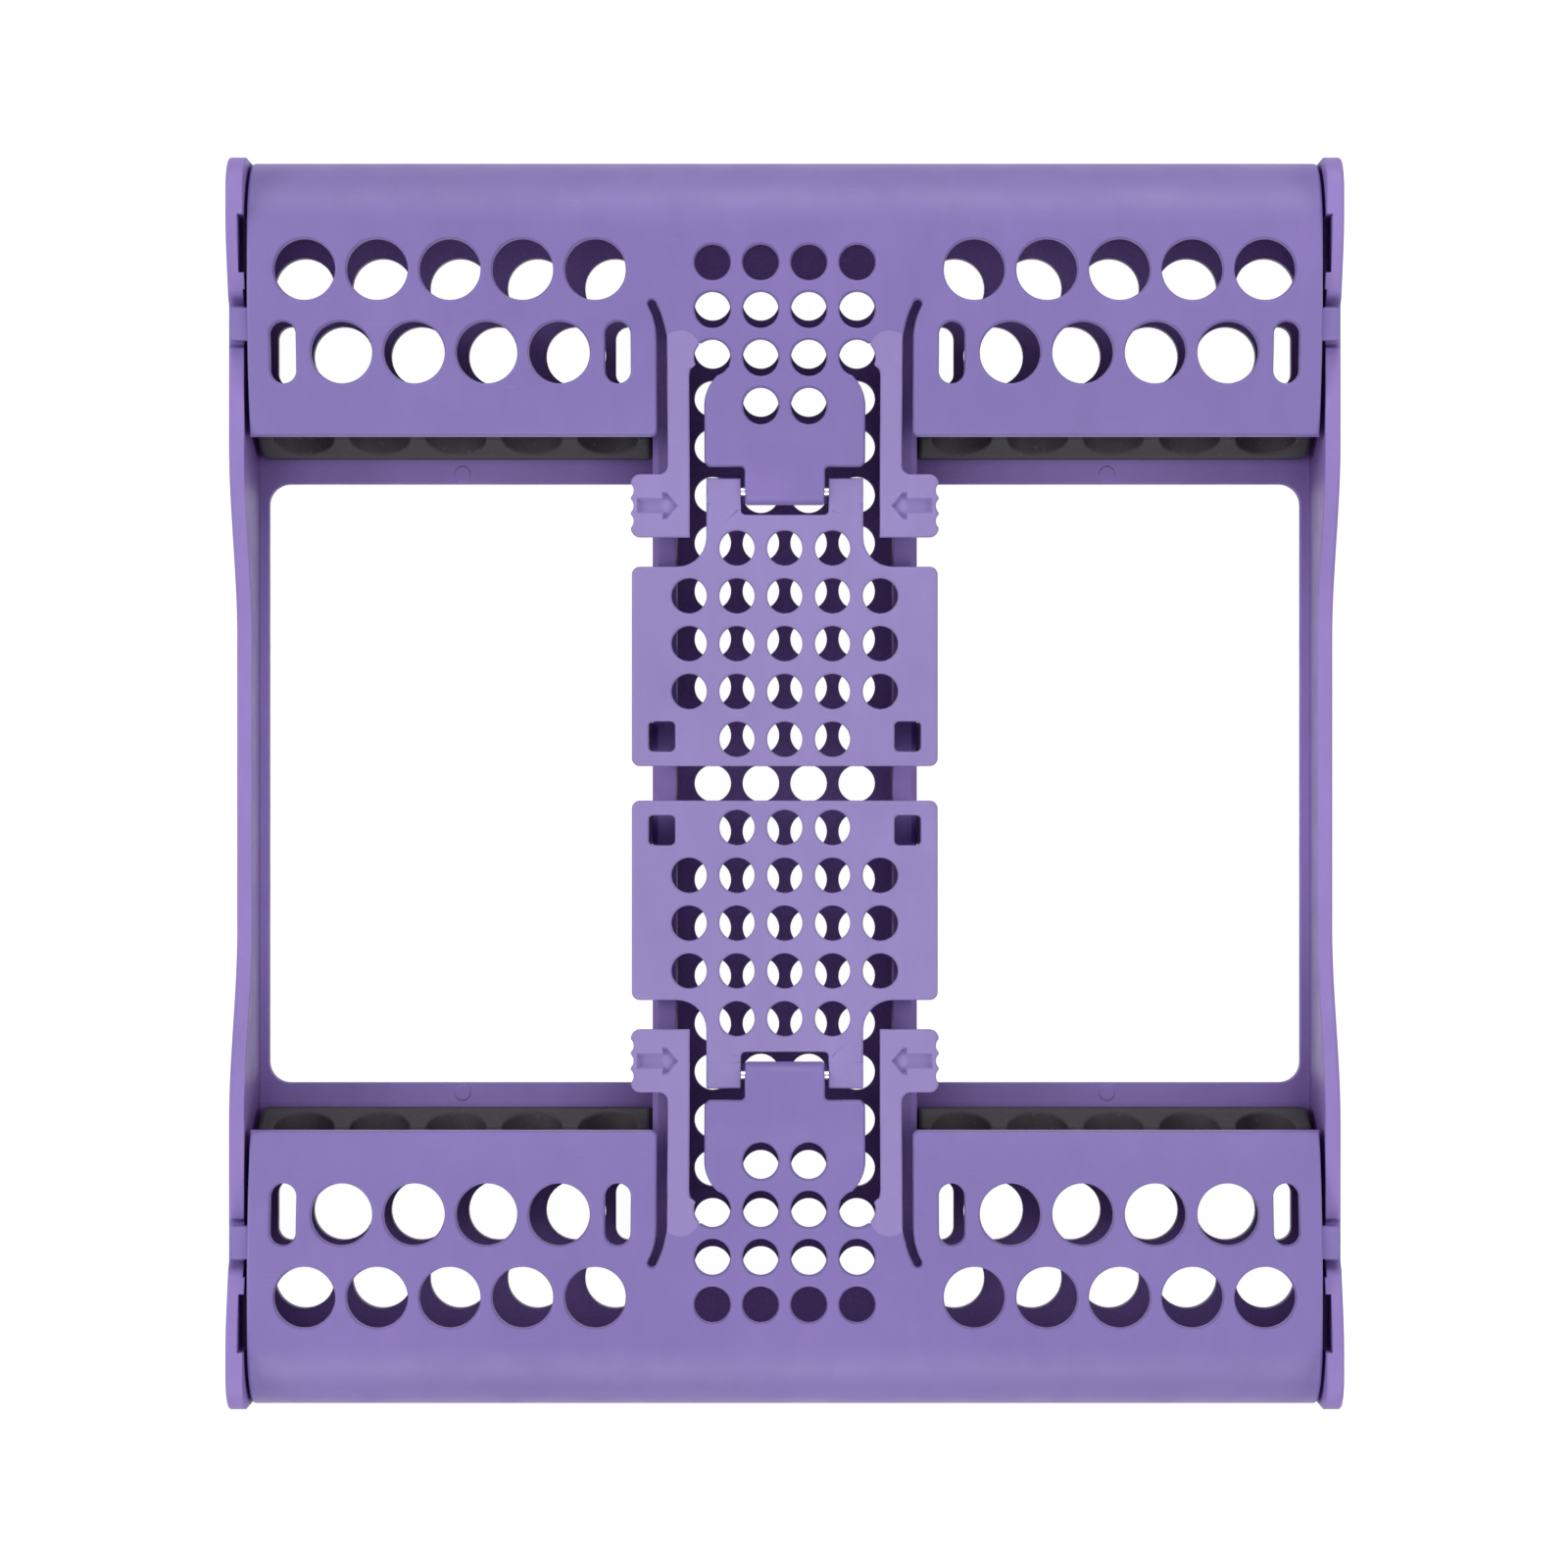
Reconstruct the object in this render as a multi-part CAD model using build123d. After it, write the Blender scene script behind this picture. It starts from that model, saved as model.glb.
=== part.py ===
# Dental instrument cassette: a moulded base with two hinged lids, a hinged cover on
# each lid's centre tongue, two squeeze latch arms on each lid and four silicone rails.
# Millimetres, +Z up, +Y to the rear, origin at the bottom centre, lids closed.
import os
from math import asin, cos, degrees, floor, sin, sqrt

from build123d import *

# Overall size
cassette_length = 203.2
cassette_width = 180.4
cassette_height = 32.0

# Base: floor, side walls and end walls
floor_top = 3.0
floor_thickness = 2.2
wall_thickness = 2.5
flange_thickness = 2.8
flange_run = 21.6            # length of the thicker end of each side wall
flange_corner_radius = 6.0
flange_top_run = 4.0         # level top of the flange beside its rounded corner
rim_plateau_drop = 5.0       # the rim beside the rails, below the flange top
rim_step_offset = 0.8        # foot of the step in the rim, outwards of the tab's far side
rim_low_height = 15.6
rim_low_half = 24.0          # half of the low stretch of rim at mid-length
rim_plateau_inset = 47.1     # from the end of the base to the inner end of the plateau
end_wall_thickness = 2.2
end_wall_drop = 5.8          # top of the end wall below the hinge axis
foot_round = 2.0
rim_round = 0.5

# Base: windows, spine and drain holes
window_inset = 51.5          # from the end of the base to a window
ledge_width = 1.4            # floor left between a window and the side wall
window_corner = 3.5
spine_inner_half = 17.8
spine_wall = 2.0
spine_depth = 2.9            # from the underside of the covers to the top of the spine
spine_lip = 1.9              # reach of the snap lip beyond the spine wall
spine_lip_height = 2.4
spine_lip_chamfer = 0.9
spine_end_inset = 18.1       # from the end of the base to the end of the spine walls
spine_hole_radius = 3.05
spine_hole_inset = 15.0      # from the end of the base to where the channel's holes stop
spine_hole_columns = (4.0, 12.05)
spine_hole_pitch = 8.05
base_hole_radius = 5.0
base_hole_pitch = 12.97
base_outer_row_inset = 18.7
base_inner_row_inset = 30.13
base_slot_offset = 2.31      # a slot's centre beyond the outermost hole of the outer row
base_hole_shift = 0.25       # the drain holes lie this far outwards of the bay's middle
slot_width = 4.3
slot_length = 10.0
hole_edge_margin = 1.5       # least web between a hole and the edge of its bay

# Lids
lid_thickness = 2.1
lid_side_gap = 0.5
lid_end_inset = 0.1          # lid end inside the flange end
lid_top_drop = 1.4           # lid top below the flange top
sweep_gap = 4.0              # floor to the underside of the lid end as it swings through
trough_clearance = 0.45
lid_end_lip = 1.2
crown_start_offset = 6.7     # from the hinge axis to where the top starts to fall
crown_radius = 75.0
wing_inset = 45.1            # from the end of the base to a wing's inner edge
wing_inner_half = 20.85
skirt_thickness = 2.0
skirt_rib_width = 3.5
skirt_rib_depth = 2.2
skirt_draft = 0.3
lid_hole_radius = 5.0
lid_hole_pitch = 11.75
lid_outer_row_inset = 18.5
lid_inner_row_inset = 31.8
lid_slot_offset = 3.6
centre_hole_radius = 2.98
centre_hole_columns = (3.9, 11.7)
centre_hole_pitch = 7.65
centre_row_inset = 17.35
edge_round = 0.35

# Lid pivots and rest tabs
trunnion_radius = 4.0
trunnion_boss_radius = 6.2
trunnion_recess = 0.1        # trunnion end below the outer face of the flange
pivot_clearance = 0.08
snap_groove_depth = 0.9
snap_groove_near = 7.1       # from the hinge axis inwards
snap_groove_far = 2.1        # from the hinge axis outwards
snap_groove_floor = 6.0      # above the hinge axis
tab_near = 12.7              # from the hinge axis to the tab's nearer side
tab_width = 5.3
tab_thickness = 2.4
tab_chamfer = 1.0            # lets the tab swing past the flange's rounded corner
tab_reach = 0.5              # tab end inside the outer face of the side wall
tab_seat_gap = 0.3
notch_depth = 0.6
notch_side_gap = 0.5
notch_slope = 2.4

# Tongue, knuckle and cover pin
tongue_half = 13.0
tongue_end_offset = 4.8      # tongue end inwards of the wing's inner edge
tongue_corner = 1.0
tongue_shoulder = (8.9, 10.9)
tongue_shoulder_mid = (11.7, 8.7)
tongue_shoulder_start = 4.5
pin_offset = 8.9             # pin axis inwards of the wing's inner edge
pin_radius = 0.8
pin_clearance = 0.04
pin_recess = 0.3
knuckle_radius = 2.2
knuckle_half = 6.46
knuckle_gap = 0.69
knuckle_step = 1.0           # the knuckle widens this far below the pin axis
knuckle_step_gap = 0.2       # from its wider lower part to the ears
deck_run = 0.9               # level deck beyond the pin axis

# Covers
cover_gap = 5.6              # between the two covers
cover_half = 24.95
cover_thickness = 2.0
seat_rib_thickness = 1.0     # ribs that rest on the spine
seat_rib_gap = 0.2           # between the ribs and the spine
seat_rib_inset = 1.0         # from the snap windows and from the shoulder
cover_corner = 1.3
neck_half = 12.8
neck_length = 12.25          # from the pin axis to the shoulder
neck_fillet = 4.8
ear_notch_depth = 3.8        # from the pin axis
ear_notch_corner = 0.8
cover_hole_radius = 2.87
cover_hole_pitch = 7.8
cover_first_row = 4.4        # from the inner edge
snap_window = (4.3, 4.9)
snap_window_centre = (20.05, 4.85)
snap_window_corner = 0.8
snap_leg_thickness = 1.3
snap_leg_reach = 0.5         # below the spine lip
snap_barb_gap = 0.1
snap_barb_height = 1.2

# Latch arms
arm_outer = 19.05
arm_inner = 15.5
arm_root = (16.9, 13.5)      # flexing root: half distance from centre, beyond the wing edge
arm_root_radius = 3.2
arm_root_clearance = 0.08
arm_neck_run = 4.2           # below the root, where the inner edge starts to curve out
arm_neck_reach = 0.8
arm_neck_rise = 1.25
arm_end_offset = 16.42       # arm end inwards of the wing's inner edge
grip_length = 10.25
grip_half = 25.08
grip_corner = 1.5
grip_fillet = 1.5
grip_notch_radius = 1.5
grip_notch_depth = 0.46
grip_notch_pitch = 2.5
grip_notch_count = 3
slot_top = (21.45, 20.8)     # end of the slot beside the arm: from the centre, beyond the wing edge
slot_half_width = 0.75
slot_lean = 0.4              # rise of the slot's end towards the arm
slot_bend = 15.5             # where the slot starts to curve outwards, beyond the wing edge
slot_lead = 1.0              # the arm's side of the slot curves this much earlier
latch_leg_thickness = 1.5
latch_leg_gap = 0.4
latch_leg_length = 6.0
latch_leg_height = 7.4
arrow_depth = 0.4
arrow_slope = 0.4            # run of the pocket's sloping sides
arrow_tail = 24.0
arrow_barb = 19.9
arrow_blunt = 0.75           # length of the blunt outer end of a barb
arrow_tip = 17.4
arrow_blunt_miter = 0.4      # how far the sides close in at a barb, for the same slope
arrow_tip_miter = 1.35       # and at the tip
arrow_shaft_half = 1.2
arrow_head_half = 2.2

# Instrument rails
rail_end_gap = 0.3
rail_wall_gap = 0.8
rail_near_inset = 47.5       # from the end of the base to the rail's window side
rail_width = 11.0
rail_top = 17.0
rail_slope_start = 10.0
rail_slope = 2.5             # run of the sloping front of a rail
rail_crest = 4.0             # from the front of a rail to its level top
rail_round = 1.2
groove_radius = 5.0
groove_pitch = 12.55
groove_edge_margin = 2.0     # least solid length between a groove and the rail's end
groove_floor = 11.0
peg_radius = 2.0
peg_clearance = 0.1
peg_offset = 1.0             # beyond the middle of the rail, under its level top

# Derived places
end_y = cassette_length / 2
side_x = cassette_width / 2
floor_under = floor_top - floor_thickness
flange_inner = side_x - flange_thickness
wall_inner = side_x - wall_thickness
lid_half = flange_inner - lid_side_gap
lid_end = end_y - lid_end_inset
lid_top = cassette_height - lid_top_drop
lid_end_radius = (lid_top - floor_top - sweep_gap) / 2
hinge_y = lid_end - lid_end_radius
hinge_z = lid_top - lid_end_radius
rim_plateau = cassette_height - rim_plateau_drop
wing_edge = end_y - wing_inset
crown_start = hinge_y - crown_start_offset
crown_angle = asin((crown_start - wing_edge) / crown_radius)
wing_edge_top = lid_top - crown_radius * (1 - cos(crown_angle))
pin_y = wing_edge - pin_offset
deck_start = pin_y + deck_run
sag_radius = (wing_edge - deck_start) / sin(crown_angle)
deck_top = wing_edge_top - sag_radius * (1 - cos(crown_angle))
pin_z = deck_top - knuckle_radius
cover_top = pin_z + cover_thickness / 2
cover_under = pin_z - cover_thickness / 2
spine_top = cover_under - spine_depth
spine_outer = spine_inner_half + spine_wall
spine_lip_half = spine_outer + spine_lip
spine_end = end_y - spine_end_inset
lip_low = spine_top - spine_lip_chamfer - spine_lip_height
bay_centre = (wing_inner_half + flange_inner) / 2
tab_far = tab_near + tab_width
notch_floor = rim_plateau - notch_depth
cover_inner = cover_gap / 2
cover_shoulder = pin_y - neck_length
bore_radius = pin_radius + pin_clearance
arm_end = wing_edge - arm_end_offset
arm_root_y = wing_edge + arm_root[1]
through = 3 * cassette_height


def yz_prism(edges, start_x, end_x):
    """A closed outline of (y, z) edges, carried along X."""
    face = Plane.YZ * make_face(edges)
    return Pos(start_x, 0, 0) * extrude(face, end_x - start_x)


def block(x_range, y_range, z_range):
    """An axis-aligned block between three pairs of limits."""
    size = [high - low for low, high in (x_range, y_range, z_range)]
    middle = [(high + low) / 2 for low, high in (x_range, y_range, z_range)]
    return Pos(*middle) * Box(*size)


def rod_x(radius, start_x, end_x, y, z):
    """A round bar along X."""
    bar = Rot(0, 90, 0) * Cylinder(radius, end_x - start_x)
    return Pos((start_x + end_x) / 2, y, z) * bar


def both_sides(shape):
    """The shape with its mirror image on the other side of the middle."""
    return shape + mirror(shape, Plane.YZ)


def s_curve(start, end):
    """A step in the rim that leaves and arrives level."""
    third = (end[0] - start[0]) / 3
    return Bezier(start, (start[0] + third, start[1]), (end[0] - third, end[1]), end)


def chain(points, closed=True):
    """Straight edges through the points, in order."""
    stops = list(points) + [points[0]] if closed else list(points)
    return [Line(stops[i], stops[i + 1]) for i in range(len(stops) - 1)]


def row(count, pitch, centre=0.0):
    """Evenly spaced places about a centre."""
    return [centre + (i - (count - 1) / 2) * pitch for i in range(count)]


def bay_count(pitch, radius):
    """How many holes of a row fit one bay, between the spine and the side."""
    room = lid_half - spine_lip_half - 2 * (radius + hole_edge_margin)
    return floor(room / pitch) + 1


def bay_holes(radius, pitch, outer_row, inner_row, slot_offset, shift=0):
    """Two staggered rows of round holes with a slot at each end of the inner row."""
    count = bay_count(pitch, radius)
    centre = bay_centre + shift
    places = [(x, outer_row) for x in row(count, pitch, centre)]
    places += [(x, inner_row) for x in row(count - 1, pitch, centre)]
    shapes = [Pos(x, y) * Circle(radius) for x, y in places]
    slot = Rot(0, 0, 90) * SlotOverall(slot_length, slot_width)
    reach = (count - 1) / 2 * pitch + slot_offset
    shapes += [Pos(centre + side * reach, inner_row) * slot for side in (-1, 1)]
    return shapes


def four_ways(shapes):
    """Flat shapes of the rear right quarter, repeated in all four."""
    right = list(shapes)
    rear = right + [mirror(shape, Plane.YZ) for shape in right]
    return rear + [mirror(shape, Plane.XZ) for shape in rear]


# Base -------------------------------------------------------------------------

def rim_edges():
    """One half of a side wall seen from the side, from mid-length to the rear end."""
    corner = flange_corner_radius
    corner_start = (end_y - corner, cassette_height)
    top_start = (end_y - corner - flange_top_run, cassette_height)
    plateau_far = (hinge_y - tab_far + rim_step_offset, rim_plateau)
    plateau_near = (end_y - rim_plateau_inset, rim_plateau)
    low = (rim_low_half, rim_low_height)
    return [
        Line((0, 0), (end_y - foot_round, 0)),
        RadiusArc((end_y - foot_round, 0), (end_y, foot_round), -foot_round),
        Line((end_y, foot_round), (end_y, cassette_height - corner)),
        RadiusArc((end_y, cassette_height - corner), corner_start, -corner),
        Line(corner_start, top_start),
        s_curve(top_start, plateau_far),
        Line(plateau_far, plateau_near),
        s_curve(plateau_near, low),
        Line(low, (0, rim_low_height)),
        Line((0, rim_low_height), (0, 0)),
    ]


def tab_notch():
    """The shallow notch in the rim that a lid's tab rests in."""
    near = hinge_y - tab_near + notch_side_gap
    far = hinge_y - tab_far - notch_side_gap
    top = cassette_height + 1
    outline = [
        (far, notch_floor), (near, notch_floor), (near + notch_slope, notch_floor + notch_slope),
        (near + notch_slope, top), (far - notch_slope, top), (far - notch_slope, notch_floor + notch_slope),
    ]
    return yz_prism(chain(outline), flange_inner - 1, side_x + 1)


def side_wall():
    """The right side wall, thicker at its ends where the lids pivot."""
    half = yz_prism(rim_edges(), flange_inner, side_x)
    outer_rim = half.faces().sort_by(Axis.X)[-1].edges().filter_by(lambda e: (e @ 0.5).Y > 1)
    half = fillet(outer_rim, rim_round)
    thin = block((flange_inner - 1, wall_inner), (-1, end_y - flange_run), (-1, cassette_height + 1))
    socket = rod_x(trunnion_radius + pivot_clearance, flange_inner - 1, side_x + 1, hinge_y, hinge_z)
    groove = block((flange_inner - 1, flange_inner + snap_groove_depth),
                   (hinge_y - snap_groove_near, hinge_y + snap_groove_far),
                   (hinge_z + snap_groove_floor, cassette_height + 1))
    half = half - thin - socket - groove - tab_notch()
    return half + mirror(half, Plane.XZ)


def end_wall():
    """The rear end wall, hollowed about the hinge axis so that the lid end swings past it."""
    radius = lid_end_radius + trough_clearance
    top_z = hinge_z - end_wall_drop
    inner = end_y - end_wall_thickness
    top_inner = hinge_y + sqrt(radius ** 2 - end_wall_drop ** 2)
    foot_z = hinge_z - sqrt(radius ** 2 - (inner - hinge_y) ** 2)
    edges = chain([(inner, foot_z), (inner, 0), (end_y - foot_round, 0)], closed=False)
    edges.append(RadiusArc((end_y - foot_round, 0), (end_y, foot_round), -foot_round))
    edges += chain([(end_y, foot_round), (end_y, top_z), (top_inner, top_z)], closed=False)
    edges.append(RadiusArc((top_inner, top_z), (inner, foot_z), radius))
    return yz_prism(edges, -flange_inner, flange_inner)


def floor_outline():
    """The floor seen from above, with its windows and every drain hole."""
    window_end = end_y - window_inset
    window_side = wall_inner - ledge_width
    width = window_side - spine_outer
    window = RectangleRounded(width, 2 * window_end, window_corner)
    plate = Rectangle(2 * wall_inner, 2 * (end_y - end_wall_thickness))
    for side in (-1, 1):
        plate -= Pos(side * (spine_outer + width / 2), 0) * window
    holes = four_ways(bay_holes(base_hole_radius, base_hole_pitch, end_y - base_outer_row_inset,
                                end_y - base_inner_row_inset, base_slot_offset, base_hole_shift))
    holes += [Pos(x, y) * Circle(spine_hole_radius) for x, y in spine_hole_places()]
    holes += [Pos(x, y) * Circle(peg_radius + peg_clearance) for x, y in peg_places(four=True)]
    return plate - holes


def spine_hole_places():
    """Centres of the drain holes along the channel of the spine."""
    steps = floor((end_y - spine_hole_inset - spine_hole_radius) / spine_hole_pitch)
    columns = [side * x for x in spine_hole_columns for side in (-1, 1)]
    return [(x, k * spine_hole_pitch) for x in columns for k in range(-steps, steps + 1)]


def spine_rail():
    """The right wall of the spine channel, with the lip that the covers snap over."""
    crest = spine_top - spine_lip_chamfer
    section = [
        (spine_inner_half, floor_under), (spine_outer, floor_under), (spine_outer, lip_low - spine_lip),
        (spine_lip_half, lip_low), (spine_lip_half, crest), (spine_lip_half - spine_lip_chamfer, spine_top),
        (spine_inner_half, spine_top),
    ]
    return extrude(Plane.XZ * make_face(chain(section)), spine_end, both=True)


def base_frame():
    """The moulded tray: side walls, end walls, floor and spine."""
    frame = both_sides(side_wall())
    frame += end_wall() + mirror(end_wall(), Plane.XZ)
    frame += Pos(0, 0, floor_under) * extrude(floor_outline(), floor_thickness)
    return frame + both_sides(spine_rail())


# Instrument rails -------------------------------------------------------------

def rail_limits():
    """Start and end of the right rear rail along X and along Y."""
    near = end_y - rail_near_inset
    return (spine_lip_half + rail_end_gap, wall_inner - rail_wall_gap), (near, near + rail_width)


def groove_places():
    """Evenly spaced grooves, as many as the rail has room for."""
    start, stop = rail_limits()[0]
    room = stop - start - 2 * (groove_radius + groove_edge_margin)
    return row(floor(room / groove_pitch) + 1, groove_pitch, bay_centre)


def peg_places(four=False):
    """Where the rails' pegs pass through the floor, each between the last two grooves."""
    near, far = rail_limits()[1]
    grooves = groove_places()
    peg_y = (near + far) / 2 + peg_offset
    places = [(grooves[0] + groove_pitch / 2, peg_y), (grooves[-1] - groove_pitch / 2, peg_y)]
    if not four:
        return places
    return [(sx * x, sy * y) for x, y in places for sx in (-1, 1) for sy in (-1, 1)]


def instrument_rail():
    """The right rear silicone rail: a bar with a row of round-bottomed grooves."""
    (start, stop), (near, far) = rail_limits()
    edges = [
        Line((near, floor_top), (near, rail_slope_start)),
        Line((near, rail_slope_start), (near + rail_slope, rail_top - rail_round)),
        Line((near + rail_slope, rail_top - rail_round), (near + rail_crest, rail_top)),
        Line((near + rail_crest, rail_top), (far - rail_round, rail_top)),
        RadiusArc((far - rail_round, rail_top), (far, rail_top - rail_round), rail_round),
        Line((far, rail_top - rail_round), (far, floor_top)),
        Line((far, floor_top), (near, floor_top)),
    ]
    rail = yz_prism(edges, start, stop)
    for x in groove_places():
        centre_z = groove_floor + groove_radius
        groove = Pos(x, (near + far) / 2, centre_z) * Rot(90, 0, 0) * Cylinder(groove_radius, 2 * rail_width)
        mouth = block((x - groove_radius, x + groove_radius), (near - 1, far + 1), (centre_z, rail_top + 1))
        rail = rail - groove - mouth
    upright = rail.edges().filter_by(Axis.Z).group_by(Axis.X)
    rail = fillet(upright[0] + upright[-1], rail_round)
    for x, y in peg_places():
        rail += Pos(x, y, (floor_under + floor_top) / 2) * Cylinder(peg_radius, floor_thickness)
    return rail


# Lids -------------------------------------------------------------------------

def lid_top_edges(depth):
    """The lid's section from its centre deck to its end, a depth below the outside."""
    angle = degrees(crown_angle)
    deck_low = (arm_end - 1, deck_top - depth)
    sag_centre = (deck_start, deck_top + sag_radius)
    crown_centre = (crown_start, lid_top - crown_radius)
    sag = CenterArc(sag_centre, sag_radius + depth, 270, angle)
    crown = CenterArc(crown_centre, crown_radius - depth, 90, angle)
    end = CenterArc((hinge_y, hinge_z), lid_end_radius - depth, 0, 90)
    lip_low = (lid_end - depth, hinge_z - lid_end_lip)
    return [
        Line(deck_low, (deck_start, deck_top - depth)),
        sag,
        crown,
        Line((crown_start, lid_top - depth), (hinge_y, lid_top - depth)),
        end,
        Line((lid_end - depth, hinge_z), lip_low),
    ]


def lid_shell(half_width):
    """The curved sheet that the lid, its tongue and its arms are all cut from."""
    outer = lid_top_edges(0)
    inner = lid_top_edges(lid_thickness)
    closing = [
        Line(outer[0] @ 0, inner[0] @ 0),
        Line(outer[-1] @ 1, inner[-1] @ 1),
    ]
    return yz_prism(outer + inner + closing, -half_width, half_width)


def arm_bay():
    """The opening in the right half of a lid plan that a latch arm works in."""
    low = deck_start - knuckle_radius
    wing_bend = (wing_inner_half, wing_edge + slot_bend)
    arm_bend = (arm_outer, wing_edge + slot_bend - slot_lead)
    wing_top = (slot_top[0] + slot_half_width, wing_edge + slot_top[1])
    arm_top = (slot_top[0] - slot_half_width, wing_edge + slot_top[1] + slot_lean)
    crest = (slot_top[0] + slot_lean / 2, wing_edge + slot_top[1] + slot_half_width + slot_lean / 2)
    shoulder_start = (tongue_half, wing_edge + tongue_shoulder_start)
    shoulder_mid = (tongue_shoulder_mid[0], wing_edge + tongue_shoulder_mid[1])
    shoulder_end = (tongue_shoulder[0], wing_edge + tongue_shoulder[1])
    edges = chain([shoulder_start, (tongue_half, low), (wing_inner_half, low), wing_bend], closed=False)
    edges.append(TangentArc(wing_bend, wing_top, tangent=(0, 1)))
    edges.append(ThreePointArc(wing_top, crest, arm_top))
    edges.append(TangentArc(arm_bend, arm_top, tangent=(0, 1)))
    edges += chain([arm_bend, (arm_outer, arm_root_y), (centre_hole_columns[1], centre_row(2)),
                    shoulder_end], closed=False)
    edges.append(ThreePointArc(shoulder_end, shoulder_mid, shoulder_start))
    root = Pos(arm_root[0], arm_root_y) * Circle(arm_root_radius + arm_root_clearance)
    return make_face(edges) + root


def centre_row(step):
    """Place of a row of the small holes at the middle of a lid."""
    return end_y - centre_row_inset - step * centre_hole_pitch


def centre_holes():
    """The small round holes at the middle of the lid, right half."""
    circle = Circle(centre_hole_radius)
    places = [(x, centre_row(step)) for step in range(3) for x in centre_hole_columns]
    places.append((centre_hole_columns[0], centre_row(3)))
    return [Pos(x, y) * circle for x, y in places]


def lid_plan():
    """The rear lid seen from above, with its arm bays and holes cut out."""
    plan = block_2d((-lid_half, lid_half), (wing_edge, lid_end + 1))
    tongue_end = wing_edge - tongue_end_offset
    tongue = block_2d((-tongue_half, tongue_half), (tongue_end, wing_edge + 1))
    plan += fillet(tongue.vertices().group_by(Axis.Y)[0], tongue_corner)
    plan += block_2d((-knuckle_half, knuckle_half), (pin_y, tongue_end + 1))
    right = [arm_bay()] + centre_holes()
    right += bay_holes(lid_hole_radius, lid_hole_pitch, end_y - lid_outer_row_inset,
                       end_y - lid_inner_row_inset, lid_slot_offset)
    return plan - right - [mirror(shape, Plane.YZ) for shape in right]


def lid_skirt():
    """The right side wall of the lid, with its inner end rib, pivot boss and trunnion."""
    outer_x = lid_half
    inner_x = lid_half - skirt_thickness
    under = lid_top_edges(lid_thickness / 2)
    low_z = rail_top + tab_seat_gap
    lower = [
        Line((lid_end - lid_thickness / 2, hinge_z - lid_end_lip), (hinge_y, hinge_z - lid_end_lip)),
        Line((hinge_y, hinge_z - lid_end_lip), (hinge_y, low_z)),
        Line((hinge_y, low_z), (wing_edge - skirt_draft, low_z)),
        Line((wing_edge - skirt_draft, low_z), under[2] @ 1),
    ]
    side = yz_prism(under[2:] + lower, inner_x, outer_x)
    side += rod_x(trunnion_boss_radius, inner_x, outer_x, hinge_y, hinge_z)
    rib_x = lid_half - skirt_rib_width
    rib_top = wing_edge_top - lid_thickness / 2
    rib = [
        (wing_edge - skirt_draft, low_z), (wing_edge, rib_top),
        (wing_edge + skirt_rib_depth, rib_top), (wing_edge + skirt_rib_depth, low_z),
    ]
    side += yz_prism(chain(rib), rib_x, outer_x)
    side += rod_x(trunnion_radius, outer_x, side_x - trunnion_recess, hinge_y, hinge_z)
    return side


def lid_tab():
    """The tab that carries the right edge of the lid on the rim of the base."""
    low = notch_floor + tab_seat_gap
    near, far = hinge_y - tab_near, hinge_y - tab_far
    section = [
        (far, low), (near - tab_chamfer, low), (near, low + tab_chamfer),
        (near, low + tab_thickness), (far, low + tab_thickness),
    ]
    return yz_prism(chain(section), lid_half - skirt_thickness, side_x - tab_reach)


def knuckle():
    """The barrel at the end of the tongue, wider below the pin than above it."""
    broad = knuckle_half + knuckle_gap - knuckle_step_gap
    low = rod_x(knuckle_radius, -broad, broad, pin_y, pin_z)
    low -= block((-side_x, side_x), (pin_y - knuckle_radius, pin_y + knuckle_radius),
                 (pin_z - knuckle_step, pin_z + knuckle_radius))
    return low + rod_x(knuckle_radius, -knuckle_half, knuckle_half, pin_y, pin_z)


def rear_lid():
    """The rear lid, without its latch arms."""
    sheet = lid_shell(lid_half) & extrude(lid_plan(), through)
    lid = sheet + both_sides(lid_skirt() + lid_tab())
    lid += knuckle()
    return lid - rod_x(bore_radius, -side_x, side_x, pin_y, pin_z)


def arrow(inset):
    """An arrow that points to the middle, drawn in by an inset on every side."""
    tail = arrow_tail - inset
    barb = arrow_barb - inset
    shaft = arrow_shaft_half - inset
    head = arrow_head_half - inset
    blunt = arrow_barb - arrow_blunt - arrow_blunt_miter * inset
    tip = arrow_tip + arrow_tip_miter * inset
    half = [(tail, shaft), (barb, shaft), (barb, head), (blunt, head), (tip, 0)]
    return make_face(chain(half + [(x, -y) for x, y in reversed(half[:-1])]))


def arrow_pocket():
    """The sunken arrow on a grip, with sloping sides."""
    low = Pos(0, 0, deck_top - arrow_depth) * arrow(arrow_slope)
    high = Pos(0, 0, deck_top) * arrow(0)
    return Pos(0, arm_end + grip_length / 2) * loft([low, high], ruled=True)


def arm_neck():
    """The inner edge of the arm where it curves out to the small hole beside its root."""
    start = (arm_inner, arm_root_y - arm_neck_run)
    end = (arm_inner - arm_neck_reach, arm_root_y - arm_neck_run + 2 * arm_neck_rise)
    middle = (arm_inner - arm_neck_reach / 4, start[1] + arm_neck_rise)
    edges = [ThreePointArc(start, middle, end)]
    edges += chain([end, (arm_outer, end[1]), (arm_outer, start[1]), start], closed=False)
    return make_face(edges)


def arm_plan():
    """The rear right latch arm seen from above, without its grip."""
    stem = block_2d((arm_inner, arm_outer), (arm_end, arm_root_y))
    head = Pos(arm_root[0], arm_root_y) * Circle(arm_root_radius)
    head = head & block_2d((0, arm_outer), (arm_root_y - arm_root_radius, arm_root_y + arm_root_radius))
    return stem + arm_neck() + head - Pos(centre_hole_columns[1], centre_row(2)) * Circle(centre_hole_radius)


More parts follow.
